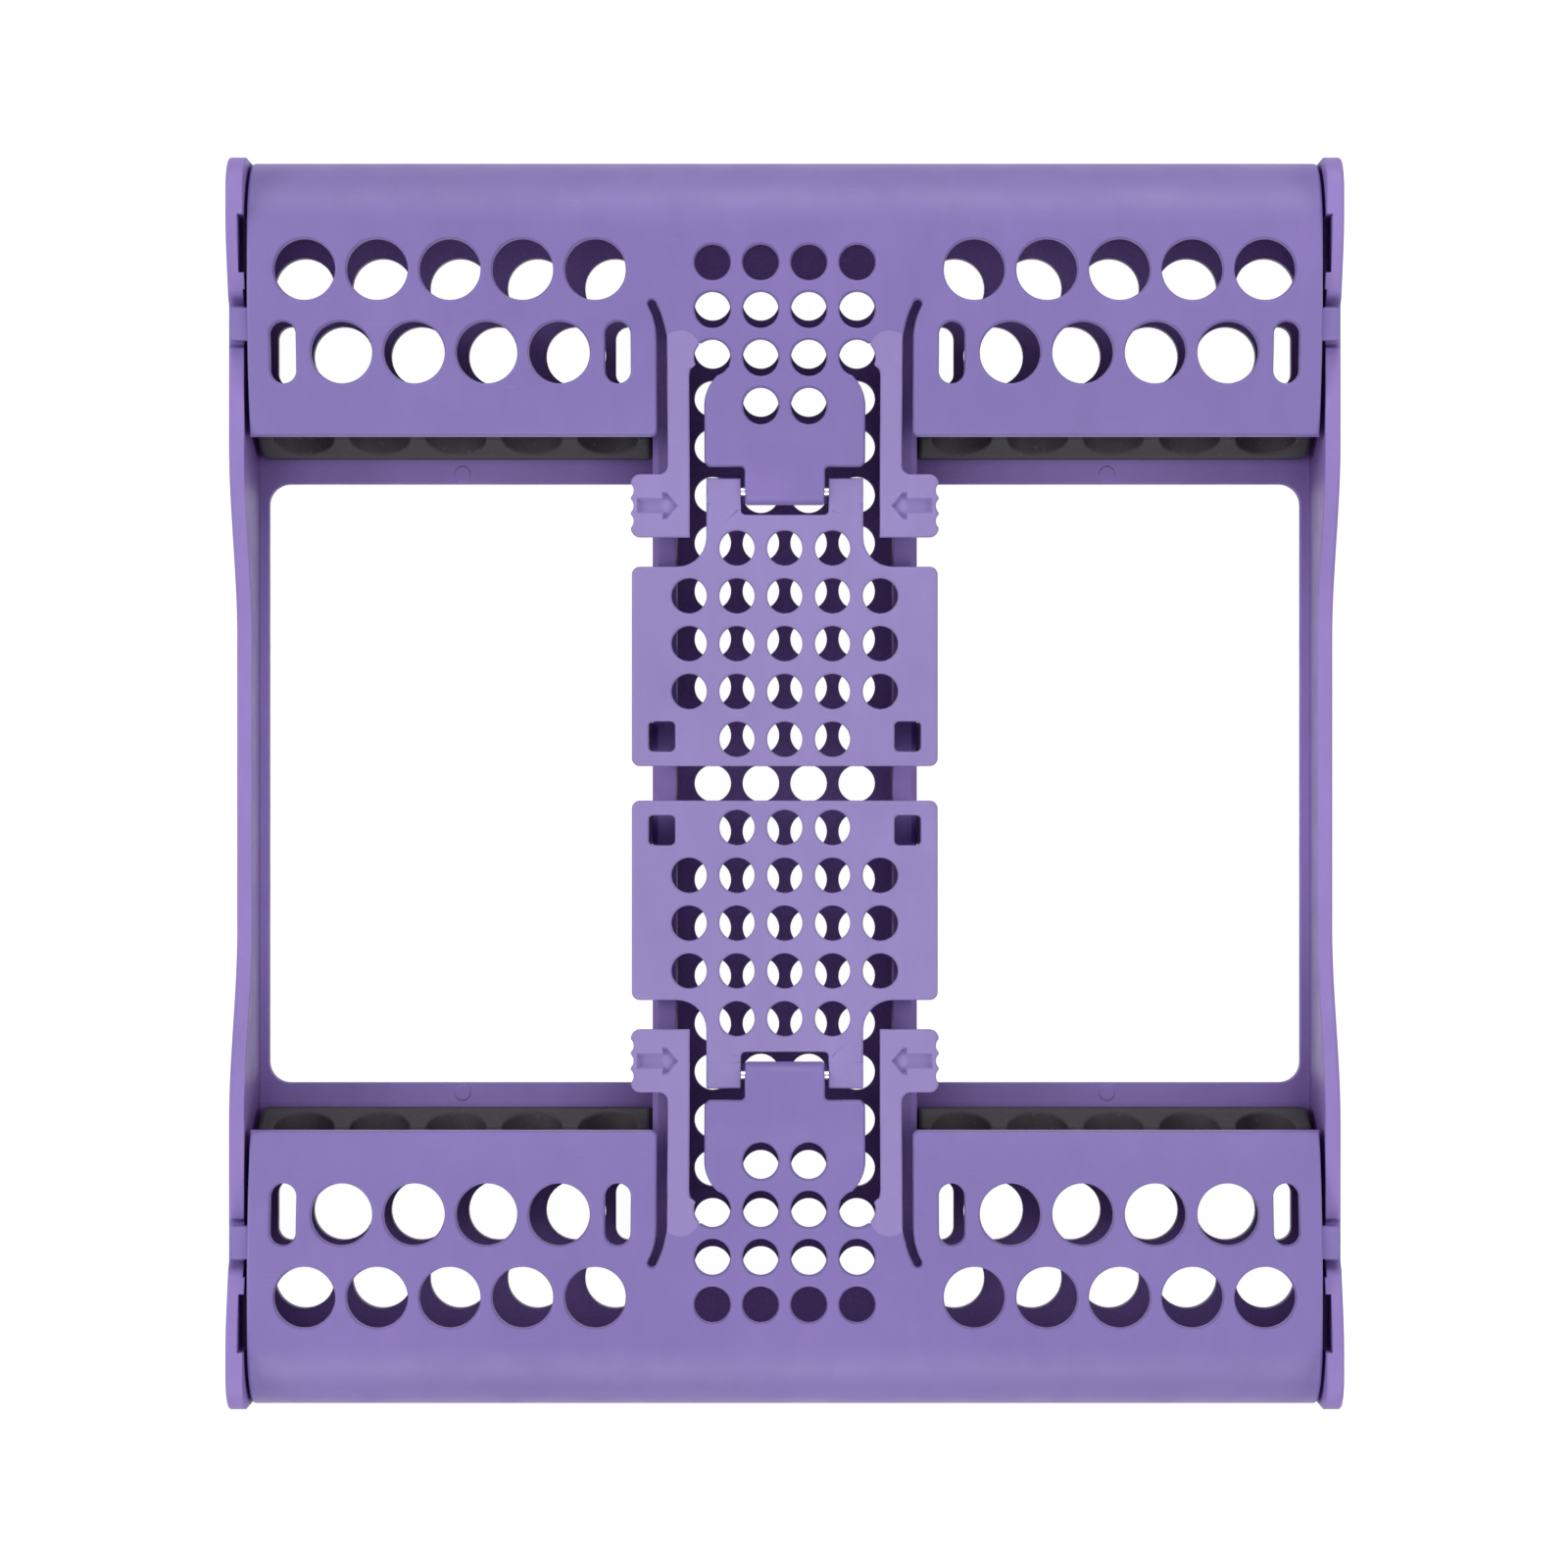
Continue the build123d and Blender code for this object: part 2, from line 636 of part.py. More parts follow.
def grip_plan():
    """The broad end of the rear right latch arm, with its finger notches."""
    grip = block_2d((arm_inner, grip_half), (arm_end, arm_end + grip_length))
    grip = fillet(grip.vertices().group_by(Axis.X)[-1], grip_corner)
    for y in row(grip_notch_count, grip_notch_pitch, arm_end + grip_length / 2):
        grip -= Pos(grip_half + grip_notch_radius - grip_notch_depth, y) * Circle(grip_notch_radius)
    corner = block_2d((arm_outer, arm_outer + grip_fillet),
                      (arm_end + grip_length, arm_end + grip_length + grip_fillet))
    centre = Pos(arm_outer + grip_fillet, arm_end + grip_length + grip_fillet)
    return grip + (corner - centre * Circle(grip_fillet))


def block_2d(x_range, y_range):
    """A rectangle between two pairs of limits."""
    centre = (sum(x_range) / 2, sum(y_range) / 2)
    return Pos(*centre) * Rectangle(x_range[1] - x_range[0], y_range[1] - y_range[0])


def latch_arm():
    """The rear right latch arm: a spring arm, its grip and its latch leg."""
    arm = lid_shell(side_x) & extrude(arm_plan() + grip_plan(), through)
    grip_middle = arm_end + grip_length / 2
    arm -= arrow_pocket()
    leg_outer = spine_inner_half - latch_leg_gap
    leg_top = deck_top - lid_thickness / 2
    leg = block((leg_outer - latch_leg_thickness, leg_outer),
                (grip_middle - latch_leg_length / 2, grip_middle + latch_leg_length / 2),
                (leg_top - latch_leg_height, leg_top))
    return arm + leg


# Covers -----------------------------------------------------------------------

def cover_plan():
    """The rear cover seen from above, with every hole but the snap windows."""
    body = block_2d((-cover_half, cover_half), (cover_inner, cover_shoulder))
    body = fillet(body.vertices(), cover_corner)
    ear_rise = cover_thickness / 2
    ear_end = pin_y + sqrt(knuckle_radius ** 2 - ear_rise ** 2)
    neck = block_2d((-neck_half, neck_half), (cover_shoulder - 1, ear_end))
    for side in (-1, 1):
        centre = (side * (neck_half + neck_fillet), cover_shoulder + neck_fillet)
        corner = block_2d(sorted((side * neck_half, centre[0])), (cover_shoulder, centre[1]))
        neck += corner - Pos(*centre) * Circle(neck_fillet)
    notch = block_2d((-knuckle_half - knuckle_gap, knuckle_half + knuckle_gap),
                     (pin_y - ear_notch_depth, pin_y + knuckle_radius))
    notch = fillet(notch.vertices().group_by(Axis.Y)[0], ear_notch_corner)
    return body + neck - notch - cover_holes()


def cover_holes():
    """Round holes of the cover; rows beside the snap windows and on the neck are short."""
    first = cover_inner + cover_first_row
    last = pin_y - ear_notch_depth - cover_hole_radius - 1
    rows = floor((last - first) / cover_hole_pitch) + 1
    shapes = []
    for step in range(rows):
        y = first + step * cover_hole_pitch
        short = step == 0 or y + cover_hole_radius > cover_shoulder
        shapes += [Pos(x, y) * Circle(cover_hole_radius) for x in row(3 if short else 5, cover_hole_pitch)]
    return shapes


def snap_leg():
    """The right snap leg of the cover, which reaches down beside the spine's lip."""
    centre_y = cover_inner + snap_window_centre[1]
    y_range = (centre_y - snap_window[1] / 2, centre_y + snap_window[1] / 2)
    start = snap_window_centre[0] + snap_window[0] / 2
    foot = lip_low - snap_leg_reach
    leg = block((start, start + snap_leg_thickness), y_range, (foot, cover_under + cover_thickness / 2))
    barb = block((spine_lip_half + snap_barb_gap, start + snap_leg_thickness), y_range,
                 (foot - snap_barb_height, foot))
    return leg + barb


def seat_rib():
    """The right rib under the cover, which stands on the middle of the spine's top."""
    centre = (spine_inner_half + spine_lip_half - spine_lip_chamfer) / 2
    window_end = cover_inner + snap_window_centre[1] + snap_window[1] / 2
    return block((centre - seat_rib_thickness / 2, centre + seat_rib_thickness / 2),
                 (window_end + seat_rib_inset, cover_shoulder - seat_rib_inset),
                 (spine_top + seat_rib_gap, cover_under + cover_thickness / 2))


def ear():
    """The right ear of the cover, round about the pin and level with the cover's top."""
    start = knuckle_half + knuckle_gap
    barrel = rod_x(knuckle_radius, start, neck_half, pin_y, pin_z)
    return barrel - block((start - 1, neck_half + 1), (pin_y - knuckle_radius, pin_y + knuckle_radius),
                          (cover_top, cover_top + knuckle_radius))


def rear_cover():
    """The rear centre cover, which swings on the pin of the rear lid."""
    plate = Pos(0, 0, cover_under) * extrude(cover_plan(), cover_thickness)
    rims = plate.faces().sort_by(Axis.Z)[-1].edges().filter_by(lambda e: (e @ 0.5).Y < pin_y)
    plate = fillet(rims, edge_round)
    plate += both_sides(ear() + snap_leg())
    plate += both_sides(seat_rib())
    window = RectangleRounded(snap_window[0], snap_window[1], snap_window_corner)
    place = Pos(snap_window_centre[0], cover_inner + snap_window_centre[1], cover_under)
    plate -= both_sides(place * extrude(window, cover_thickness + 1))
    return plate - rod_x(bore_radius, -side_x, side_x, pin_y, pin_z)


def cover_pin():
    """The steel pin that joins the rear cover to the rear lid."""
    half = neck_half - pin_recess
    return rod_x(pin_radius, -half, half, pin_y, pin_z)


# Assembly ---------------------------------------------------------------------

def lid_set():
    """Every piece of the rear half; the front half is the same set turned about."""
    arm = latch_arm()
    return {
        "lid": rear_lid(),
        "right_latch_arm": arm,
        "left_latch_arm": mirror(arm, Plane.YZ),
        "cover": rear_cover(),
        "cover_pin": cover_pin(),
        "right_instrument_rail": instrument_rail(),
        "left_instrument_rail": mirror(instrument_rail(), Plane.YZ),
    }


def other_side(name):
    """The name of a piece's fellow on the other side."""
    if name.startswith("right_"):
        return name.replace("right_", "left_")
    return name.replace("left_", "right_")


def main():
    """Write one STEP file for each piece."""
    os.makedirs("parts", exist_ok=True)
    pieces = {"base_frame": base_frame()}
    for name, shape in lid_set().items():
        pieces["rear_" + name] = shape
        pieces["front_" + other_side(name)] = Rot(0, 0, 180) * shape
    for name, shape in pieces.items():
        export_step(shape, "parts/" + name + ".step")
        print(name, round(shape.volume, 1), len(shape.solids()))


main()
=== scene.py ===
import math

import bmesh
import bpy
import numpy as np
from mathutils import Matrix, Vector


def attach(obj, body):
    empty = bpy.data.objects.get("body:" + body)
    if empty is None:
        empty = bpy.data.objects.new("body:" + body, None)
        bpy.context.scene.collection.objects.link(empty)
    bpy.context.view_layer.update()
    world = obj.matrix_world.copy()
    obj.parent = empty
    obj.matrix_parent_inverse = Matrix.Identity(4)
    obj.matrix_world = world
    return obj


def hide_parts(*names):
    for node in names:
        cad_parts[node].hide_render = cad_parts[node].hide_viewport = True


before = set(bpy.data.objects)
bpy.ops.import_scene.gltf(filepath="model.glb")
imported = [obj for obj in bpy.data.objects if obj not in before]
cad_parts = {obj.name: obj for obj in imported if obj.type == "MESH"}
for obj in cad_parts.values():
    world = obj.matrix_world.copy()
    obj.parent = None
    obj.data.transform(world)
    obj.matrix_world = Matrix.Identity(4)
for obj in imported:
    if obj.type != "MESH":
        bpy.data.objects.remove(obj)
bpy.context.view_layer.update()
mm = 0.001  # pieces are drawn in millimetres and brought to metres when they are finished
print("frame loaded:", len(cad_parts), "nodes")


# materials

resinValues = {
    "lid": (0.244, 0.181, 0.474),
    "arm": (0.314, 0.246, 0.542),
    "cover": (0.302, 0.238, 0.530),
    "base": (0.318, 0.228, 0.578),
    "mottle": 0.07,         # how far the dye drifts between paler and deeper
    "mottleScale": 38.0,    # clouds per metre
    "flowScale": 320.0,     # drawn out along the way the resin ran
    "flowMix": 0.35,
    "scratchScale": 900.0,
    "scratchBand": (0.69, 0.76),
    "scuff": 0.16,
    "grainScale": 2600.0,   # the fine tooth of the mould
    "grainDepth": 0.00003,
    "roughness": 0.46,
    "roughnessDrift": 0.06,
    "driftScale": 140.0,
    "specular": 0.3,
    "paintedShadeReach": 0.12,    # how far a surface looks round for others that shut out the light, for the shade painted into the tray's colour
    # painted shade: full below the first openness and none above the second, multiplying the colour by the tint
    "paintedShadeBand": (0.17, 0.42),
    "paintedShadeTint": (0.35, 0.215, 0.38),
    "hollowSpecular": 0.16,
}


def newMaterial(name):
    material = bpy.data.materials.new(name)
    material.use_nodes = True
    nodes = material.node_tree.nodes
    return material, nodes, material.node_tree.links, nodes["Principled BSDF"]


def noiseNode(nodes, links, coordinates, scale, detail=3.0, distortion=0.0, stretch=None):
    noise = nodes.new("ShaderNodeTexNoise")
    noise.inputs["Scale"].default_value = scale
    noise.inputs["Detail"].default_value = detail
    noise.inputs["Distortion"].default_value = distortion
    if stretch:
        mapping = nodes.new("ShaderNodeMapping")
        mapping.inputs["Scale"].default_value = stretch
        links.new(coordinates, mapping.inputs["Vector"])
        coordinates = mapping.outputs["Vector"]
    links.new(coordinates, noise.inputs["Vector"])
    return noise.outputs["Fac"]


def rampNode(nodes, links, source, stops):
    ramp = nodes.new("ShaderNodeValToRGB")
    elements = ramp.color_ramp.elements
    while len(elements) < len(stops):
        elements.new(0.5)
    for element, (place, colour) in zip(elements, stops):
        element.position = place
        element.color = (*colour, 1.0)
    links.new(source, ramp.inputs["Fac"])
    return ramp.outputs["Color"]


def mixColour(nodes, links, factor, first, second, blend="MIX"):
    mix = nodes.new("ShaderNodeMix")
    mix.data_type = "RGBA"
    mix.blend_type = blend
    for socket, value in (("Factor", factor), ("A", first), ("B", second)):
        target = [s for s in mix.inputs if s.name == socket and (socket == "Factor" or s.type == "RGBA")][0]
        if isinstance(value, (float, int)):
            target.default_value = value
        elif isinstance(value, tuple):
            target.default_value = (*value, 1.0)
        else:
            links.new(value, target)
    return [s for s in mix.outputs if s.type == "RGBA"][0]


def mapRange(nodes, links, source, low, high, toLow, toHigh):
    remap = nodes.new("ShaderNodeMapRange")
    remap.inputs["From Min"].default_value = low
    remap.inputs["From Max"].default_value = high
    remap.inputs["To Min"].default_value = toLow
    remap.inputs["To Max"].default_value = toHigh
    links.new(source, remap.inputs["Value"])
    return remap.outputs["Result"]


def bumpNode(nodes, links, height, distance, normal=None):
    bump = nodes.new("ShaderNodeBump")
    bump.inputs["Distance"].default_value = distance
    bump.inputs["Strength"].default_value = 1.0
    links.new(height, bump.inputs["Height"])
    if normal:
        links.new(normal, bump.inputs["Normal"])
    return bump.outputs["Normal"]


def mouldedResin(name, colour, edgeRound=None, paintedShade=False):
    material, nodes, links, shader = newMaterial(name)
    place = nodes.new("ShaderNodeTexCoord").outputs["Object"]
    v = resinValues
    pale = tuple(c * (1 + v["mottle"]) for c in colour)
    deep = tuple(c * (1 - v["mottle"]) for c in colour)
    clouds = noiseNode(nodes, links, place, v["mottleScale"], 4.0, 0.6)
    dyeAndPaintedShade = rampNode(nodes, links, clouds, [(0.32, deep), (0.68, pale)])
    flow = noiseNode(nodes, links, place, v["flowScale"], 5.0, 0.2, stretch=(1.0, 0.35, 1.0))
    streaks = rampNode(nodes, links, flow, [(0.3, deep), (0.7, pale)])
    dyeAndPaintedShade = mixColour(nodes, links, v["flowMix"], dyeAndPaintedShade, streaks)
    scratches = noiseNode(nodes, links, place, v["scratchScale"], 2.0, 1.5, stretch=(0.25, 1.4, 1.0))
    scuffMask = mapRange(nodes, links, scratches, *v["scratchBand"], 0.0, v["scuff"])
    worn = tuple(min(1.0, c * 1.35 + 0.05) for c in colour)
    dyeAndPaintedShade = mixColour(nodes, links, scuffMask, dyeAndPaintedShade, worn)
    if paintedShade:
        # painted shade: the tray's colour is multiplied by a deeper tint where the lids and covers shut out the
        # light, judged by how hemmed in each point is
        openness = nodes.new("ShaderNodeAmbientOcclusion")
        openness.samples = 8
        openness.inputs["Distance"].default_value = v["paintedShadeReach"]
        paintedShadeMask = mapRange(nodes, links, openness.outputs["AO"], *v["paintedShadeBand"], 1.0, 0.0)
        dyeAndPaintedShade = mixColour(nodes, links, paintedShadeMask, dyeAndPaintedShade, v["paintedShadeTint"], "MULTIPLY")
    links.new(dyeAndPaintedShade, shader.inputs["Base Color"])
    drift = noiseNode(nodes, links, place, v["driftScale"], 4.0)
    low, high = v["roughness"] - v["roughnessDrift"], v["roughness"] + v["roughnessDrift"]
    links.new(mapRange(nodes, links, drift, 0.3, 0.7, low, high), shader.inputs["Roughness"])
    grain = noiseNode(nodes, links, place, v["grainScale"], 2.0)
    soft = None
    if edgeRound:
        bevel = nodes.new("ShaderNodeBevel")
        bevel.samples = 8
        bevel.inputs["Radius"].default_value = edgeRound
        soft = bevel.outputs["Normal"]
    links.new(bumpNode(nodes, links, grain, v["grainDepth"], soft), shader.inputs["Normal"])
    shader.inputs["Specular IOR Level"].default_value = v["hollowSpecular"] if paintedShade else v["specular"]
    return material


siliconeValues = {
    "deep": (0.022, 0.019, 0.023),
    "pale": (0.046, 0.041, 0.048),
    "dust": (0.120, 0.112, 0.122),
    "cloudScale": 160.0,
    "speckScale": 1500.0,
    "speckBand": (0.62, 0.75),
    "dustMost": 0.35,
    "grainScale": 3400.0,
    "grainDepth": 0.00005,
    "roughness": (0.57, 0.70),
    "specular": 0.25,
}


def mattSilicone(name):
    material, nodes, links, shader = newMaterial(name)
    place = nodes.new("ShaderNodeTexCoord").outputs["Object"]
    v = siliconeValues
    clouds = noiseNode(nodes, links, place, v["cloudScale"], 5.0, 0.4)
    body = rampNode(nodes, links, clouds, [(0.3, v["deep"]), (0.7, v["pale"])])
    specks = noiseNode(nodes, links, place, v["speckScale"], 2.0)
    dustMask = mapRange(nodes, links, specks, *v["speckBand"], 0.0, v["dustMost"])
    links.new(mixColour(nodes, links, dustMask, body, v["dust"]), shader.inputs["Base Color"])
    links.new(mapRange(nodes, links, clouds, 0.3, 0.7, *v["roughness"]), shader.inputs["Roughness"])
    grain = noiseNode(nodes, links, place, v["grainScale"], 3.0)
    links.new(bumpNode(nodes, links, grain, v["grainDepth"]), shader.inputs["Normal"])
    shader.inputs["Specular IOR Level"].default_value = v["specular"]
    return material


steelValues = {
    "pale": (0.78, 0.77, 0.74),
    "deep": (0.60, 0.59, 0.58),
    "turnScale": 4000.0,    # the fine rings left by turning
    "roughness": (0.22, 0.38),
    "scratchDepth": 0.00001,
}


def groundSteel(name):
    material, nodes, links, shader = newMaterial(name)
    place = nodes.new("ShaderNodeTexCoord").outputs["Object"]
    v = steelValues
    rings = noiseNode(nodes, links, place, v["turnScale"], 3.0, stretch=(1.0, 0.15, 0.15))
    tone = rampNode(nodes, links, rings, [(0.3, v["deep"]), (0.7, v["pale"])])
    links.new(tone, shader.inputs["Base Color"])
    links.new(mapRange(nodes, links, rings, 0.3, 0.7, *v["roughness"]), shader.inputs["Roughness"])
    links.new(bumpNode(nodes, links, rings, v["scratchDepth"]), shader.inputs["Normal"])
    shader.inputs["Metallic"].default_value = 1.0
    return material


lidResin = mouldedResin("lidResin", resinValues["lid"])
armResin = mouldedResin("armResin", resinValues["arm"])
coverResin = mouldedResin("coverResin", resinValues["cover"])
# the tray's resin has shade painted into its colour under the lids and covers
baseResinWithPaintedShade = mouldedResin("baseResinWithPaintedShade", resinValues["base"], 0.4 * mm, True)
railSilicone = mattSilicone("railSilicone")
pinSteel = groundSteel("pinSteel")
print("materials made")


# geometry nodes for a moulded sheet with rows of holes and rounded edges

def newTree(name, inputs):
    tree = bpy.data.node_groups.new(name, "GeometryNodeTree")
    for label, kind, value in inputs:
        socket = tree.interface.new_socket(label, in_out="INPUT", socket_type="NodeSocket" + kind)
        if value is not None:
            socket.default_value = value
    tree.interface.new_socket("Geometry", in_out="OUTPUT", socket_type="NodeSocketGeometry")
    return tree


class Graph:
    # short hands for adding nodes to a geometry tree
    def __init__(self, tree):
        self.tree = tree
        self.inputs = tree.nodes.new("NodeGroupInput")
        self.result = tree.nodes.new("NodeGroupOutput")

    def put(self, source, socket):
        if isinstance(source, bpy.types.NodeSocket):
            self.tree.links.new(source, socket)
        elif source is not None:
            socket.default_value = source

    def add(self, kind, settings=None, **sources):
        node = self.tree.nodes.new(kind)
        for key, value in (settings or {}).items():
            setattr(node, key, value)
        for key, source in sources.items():
            self.put(source, node.inputs[key.replace("_", " ")])
        return node

    def math(self, operation, first, second=None):
        node = self.add("ShaderNodeMath", {"operation": operation})
        self.put(first, node.inputs[0])
        self.put(second, node.inputs[1])
        return node.outputs[0]

    def vector(self, operation, first, second=None, scale=None):
        node = self.add("ShaderNodeVectorMath", {"operation": operation})
        self.put(first, node.inputs[0])
        self.put(second, node.inputs[1])
        if scale is not None:
            self.put(scale, node.inputs["Scale"])
        return node.outputs["Vector"]

    def combine(self, x=0.0, y=0.0, z=0.0):
        node = self.add("ShaderNodeCombineXYZ")
        for source, socket in zip((x, y, z), node.inputs):
            self.put(source, socket)
        return node.outputs["Vector"]

    def finish(self, geometry):
        self.put(geometry, self.result.inputs["Geometry"])
        return self.tree


def makeHoleRow():
    # a straight row of round holes, or of slots when Slot Length is over nought
    tree = newTree("holeRow", [
        ("Count", "Int", 5), ("Pitch", "Float", 10.0), ("Centre", "Vector", None),
        ("Radius", "Float", 5.0), ("Slot Length", "Float", 0.0), ("Sides", "Int", 48),
    ])
    g = Graph(tree)
    given = g.inputs.outputs
    gaps = g.math("SUBTRACT", given["Count"], 1.0)
    reach = g.math("MULTIPLY", g.math("MULTIPLY", gaps, given["Pitch"]), 0.5)
    start = g.vector("SUBTRACT", given["Centre"], g.combine(reach))
    line = g.add("GeometryNodeMeshLine", {"mode": "OFFSET"}, Count=given["Count"], Start_Location=start,
                 Offset=g.combine(given["Pitch"]))
    ring = g.add("GeometryNodeCurvePrimitiveCircle", Resolution=given["Sides"], Radius=given["Radius"])
    place = g.add("GeometryNodeInputPosition").outputs[0]
    outward = g.vector("NORMALIZE", place)
    marked = g.add("GeometryNodeStoreNamedAttribute", {"data_type": "FLOAT_VECTOR", "domain": "POINT"},
                   Geometry=ring.outputs[0], Name="side", Value=outward)
    split = g.add("ShaderNodeSeparateXYZ", Vector=place)
    halfLength = g.math("MULTIPLY", given["Slot Length"], 0.5)
    upward = g.math("MULTIPLY", g.math("SIGN", split.outputs["Y"]), halfLength)
    stretched = g.add("GeometryNodeSetPosition", Geometry=marked.outputs[0], Offset=g.combine(0.0, upward))
    placed = g.add("GeometryNodeInstanceOnPoints", Points=line.outputs["Mesh"], Instance=stretched.outputs[0])
    return g.finish(g.add("GeometryNodeRealizeInstances", Geometry=placed.outputs[0]).outputs[0])


rimSteps = 4  # facets round a quarter of an edge
holeRow = makeHoleRow()


def makeSheetTree(name, rows, material):
    # closed outlines and rows of holes, filled and given rounded walls of a thickness
    tree = newTree(name, [
        ("Geometry", "Geometry", None), ("Thickness", "Float", 2.0), ("Rim", "Float", 0.4),
        ("Apron", "Float", 0.15), ("Draft", "Float", 0.0),
    ])
    g = Graph(tree)
    given = g.inputs.outputs
    outline = g.add("GeometryNodeMeshToCurve", Mesh=given["Geometry"]).outputs[0]
    loops = g.add("GeometryNodeJoinGeometry")
    g.put(outline, loops.inputs[0])
    for row in rows:
        holes = g.add("GeometryNodeGroup", {"node_tree": holeRow})
        holes.inputs["Count"].default_value = row["count"]
        holes.inputs["Pitch"].default_value = row.get("pitch", 0.0)
        holes.inputs["Centre"].default_value = (*row["centre"], 0.0)
        holes.inputs["Radius"].default_value = row["radius"]
        holes.inputs["Slot Length"].default_value = row.get("slotLength", 0.0)
        g.put(holes.outputs[0], loops.inputs[0])
    named = g.add("GeometryNodeInputNamedAttribute", {"data_type": "FLOAT_VECTOR"}, Name="side")
    side = named.outputs["Attribute"]
    rim, thickness = given["Rim"], given["Thickness"]
    inset = g.math("ADD", rim, given["Apron"])
    inner = g.add("GeometryNodeSetPosition", Geometry=loops.outputs[0],
                  Offset=g.vector("SCALE", side, scale=inset))
    cap = g.add("GeometryNodeFillCurve", {"mode": "TRIANGLES"}, Curve=inner.outputs[0]).outputs[0]
    # the underside is filled from its own outlines, which the draft has widened
    wider = g.add("GeometryNodeSetPosition", Geometry=loops.outputs[0],
                  Offset=g.vector("SCALE", side, scale=g.math("SUBTRACT", inset, given["Draft"])))
    under = g.add("GeometryNodeFillCurve", {"mode": "TRIANGLES"}, Curve=wider.outputs[0]).outputs[0]
    under = g.add("GeometryNodeSetPosition", Geometry=under,
                  Offset=g.combine(z=g.math("MULTIPLY", thickness, -1.0)))
    under = g.add("GeometryNodeFlipFaces", Mesh=under.outputs[0]).outputs[0]
    quarter = [math.pi / 2 * i / rimSteps for i in range(rimSteps + 1)]
    steps = [(g.math("MULTIPLY", given["Apron"], -1.0), 0.0)]
    arc = [(math.sin(b) - math.sin(a), math.cos(a) - math.cos(b)) for a, b in zip(quarter, quarter[1:])]
    steps += [(g.math("MULTIPLY", rim, -out), g.math("MULTIPLY", rim, -down)) for out, down in arc]
    straight = g.math("SUBTRACT", g.math("MULTIPLY", rim, 2.0), thickness)
    steps.append((g.math("MULTIPLY", given["Draft"], -1.0), straight))
    steps += [(g.math("MULTIPLY", rim, out), g.math("MULTIPLY", rim, -down)) for out, down in reversed(arc)]
    steps.append((given["Apron"], 0.0))
    wall = g.add("GeometryNodeCurveToMesh", Curve=inner.outputs[0]).outputs[0]
    front = None
    for across, down in steps:
        grown = g.add("GeometryNodeExtrudeMesh", {"mode": "EDGES"}, Mesh=wall, Offset_Scale=0.0)
        if front:
            g.put(front, grown.inputs["Selection"])
        front = grown.outputs["Top"]
        offset = g.vector("ADD", g.vector("SCALE", side, scale=across), g.combine(z=down))
        wall = g.add("GeometryNodeSetPosition", Geometry=grown.outputs["Mesh"], Selection=front,
                     Offset=offset).outputs[0]
    joined = g.add("GeometryNodeJoinGeometry")
    for geometry in (cap, under, wall):
        g.put(geometry, joined.inputs[0])
    merged = g.add("GeometryNodeMergeByDistance", Geometry=joined.outputs[0], Distance=0.002)
    real = g.add("GeometryNodeRealizeInstances", Geometry=merged.outputs[0])
    return g.finish(g.add("GeometryNodeSetMaterial", Geometry=real.outputs[0], Material=material).outputs[0])


def signedArea(points):
    return sum(a[0] * b[1] - b[0] * a[1] for a, b in zip(points, points[1:] + points[:1])) / 2


def withoutNicks(points, shortest=0.3, sharpest=75):
    # drops a corner that only makes a nick, where a short edge meets a sharp turn
    kept = [Vector(p) for p in points]
    i = 0
    while i < len(kept):
        here, ahead, behind = kept[i], kept[(i + 1) % len(kept)], kept[i - 1]
        first, second = here - behind, ahead - here
        turn = math.degrees(first.angle(second, 0.0))
        if min(first.length, second.length) < shortest and turn > sharpest:
            kept.pop(i)
            i = max(0, i - 2)
        else:
            i += 1
    return [tuple(p) for p in kept]


def sideVectors(points, depth, isHole):
    # how each point of an outline moves into the material, mitred at corners, for one unit of inset
    loop = np.array(points)
    if (signedArea(points) > 0) == isHole:
        loop = loop[::-1]
    ahead = np.roll(loop, -1, axis=0) - loop
    ahead /= np.linalg.norm(ahead, axis=1)[:, None]
    behind = np.roll(ahead, 1, axis=0)
    left = np.stack([-ahead[:, 1], ahead[:, 0]], axis=1)
    leftBehind = np.stack([-behind[:, 1], behind[:, 0]], axis=1)
    bisector = left + leftBehind
    bisector /= np.maximum(np.linalg.norm(bisector, axis=1), 1e-6)[:, None]
    side = bisector / np.maximum((bisector * left).sum(1), 0.35)[:, None]
    # inset points that come too near another part of the outline gather where the two sides meet
    inset = loop + side * depth
    start, run = loop, np.roll(loop, -1, axis=0) - loop
    spare = inset[:, None, :] - start[None, :, :]
    along = np.clip((spare * run[None]).sum(2) / (run ** 2).sum(1)[None], 0.0, 1.0)
    gap = np.linalg.norm(spare - along[..., None] * run[None], axis=2).min(1)
    crowded = gap < depth * 0.93
    count = len(loop)
    if crowded.all() or not crowded.any():
        return loop, side
    first = next(i for i in range(count) if not crowded[i])
    i = first
    while i < first + count:
        if not crowded[i % count]:
            i += 1
            continue
        j = i
        while crowded[j % count]:
            j += 1
        before, after = (i - 1) % count, j % count
        meet = crossing(inset[before], behind[before] + ahead[before],
                        inset[after], behind[after] + ahead[after])
        for k in range(i, j):
            side[k % count] = (meet - loop[k % count]) / depth
        i = j
    return loop, side


def crossing(a, alongA, b, alongB):
    # where two lines meet, or their middle if they hardly cross
    turn = alongA[0] * alongB[1] - alongA[1] * alongB[0]
    if abs(turn) < 0.05:
        return (a + b) / 2
    reach = ((b[0] - a[0]) * alongB[1] - (b[1] - a[1]) * alongB[0]) / turn
    point = a + alongA * reach
    return point if np.linalg.norm(point - (a + b) / 2) < 2.0 else (a + b) / 2


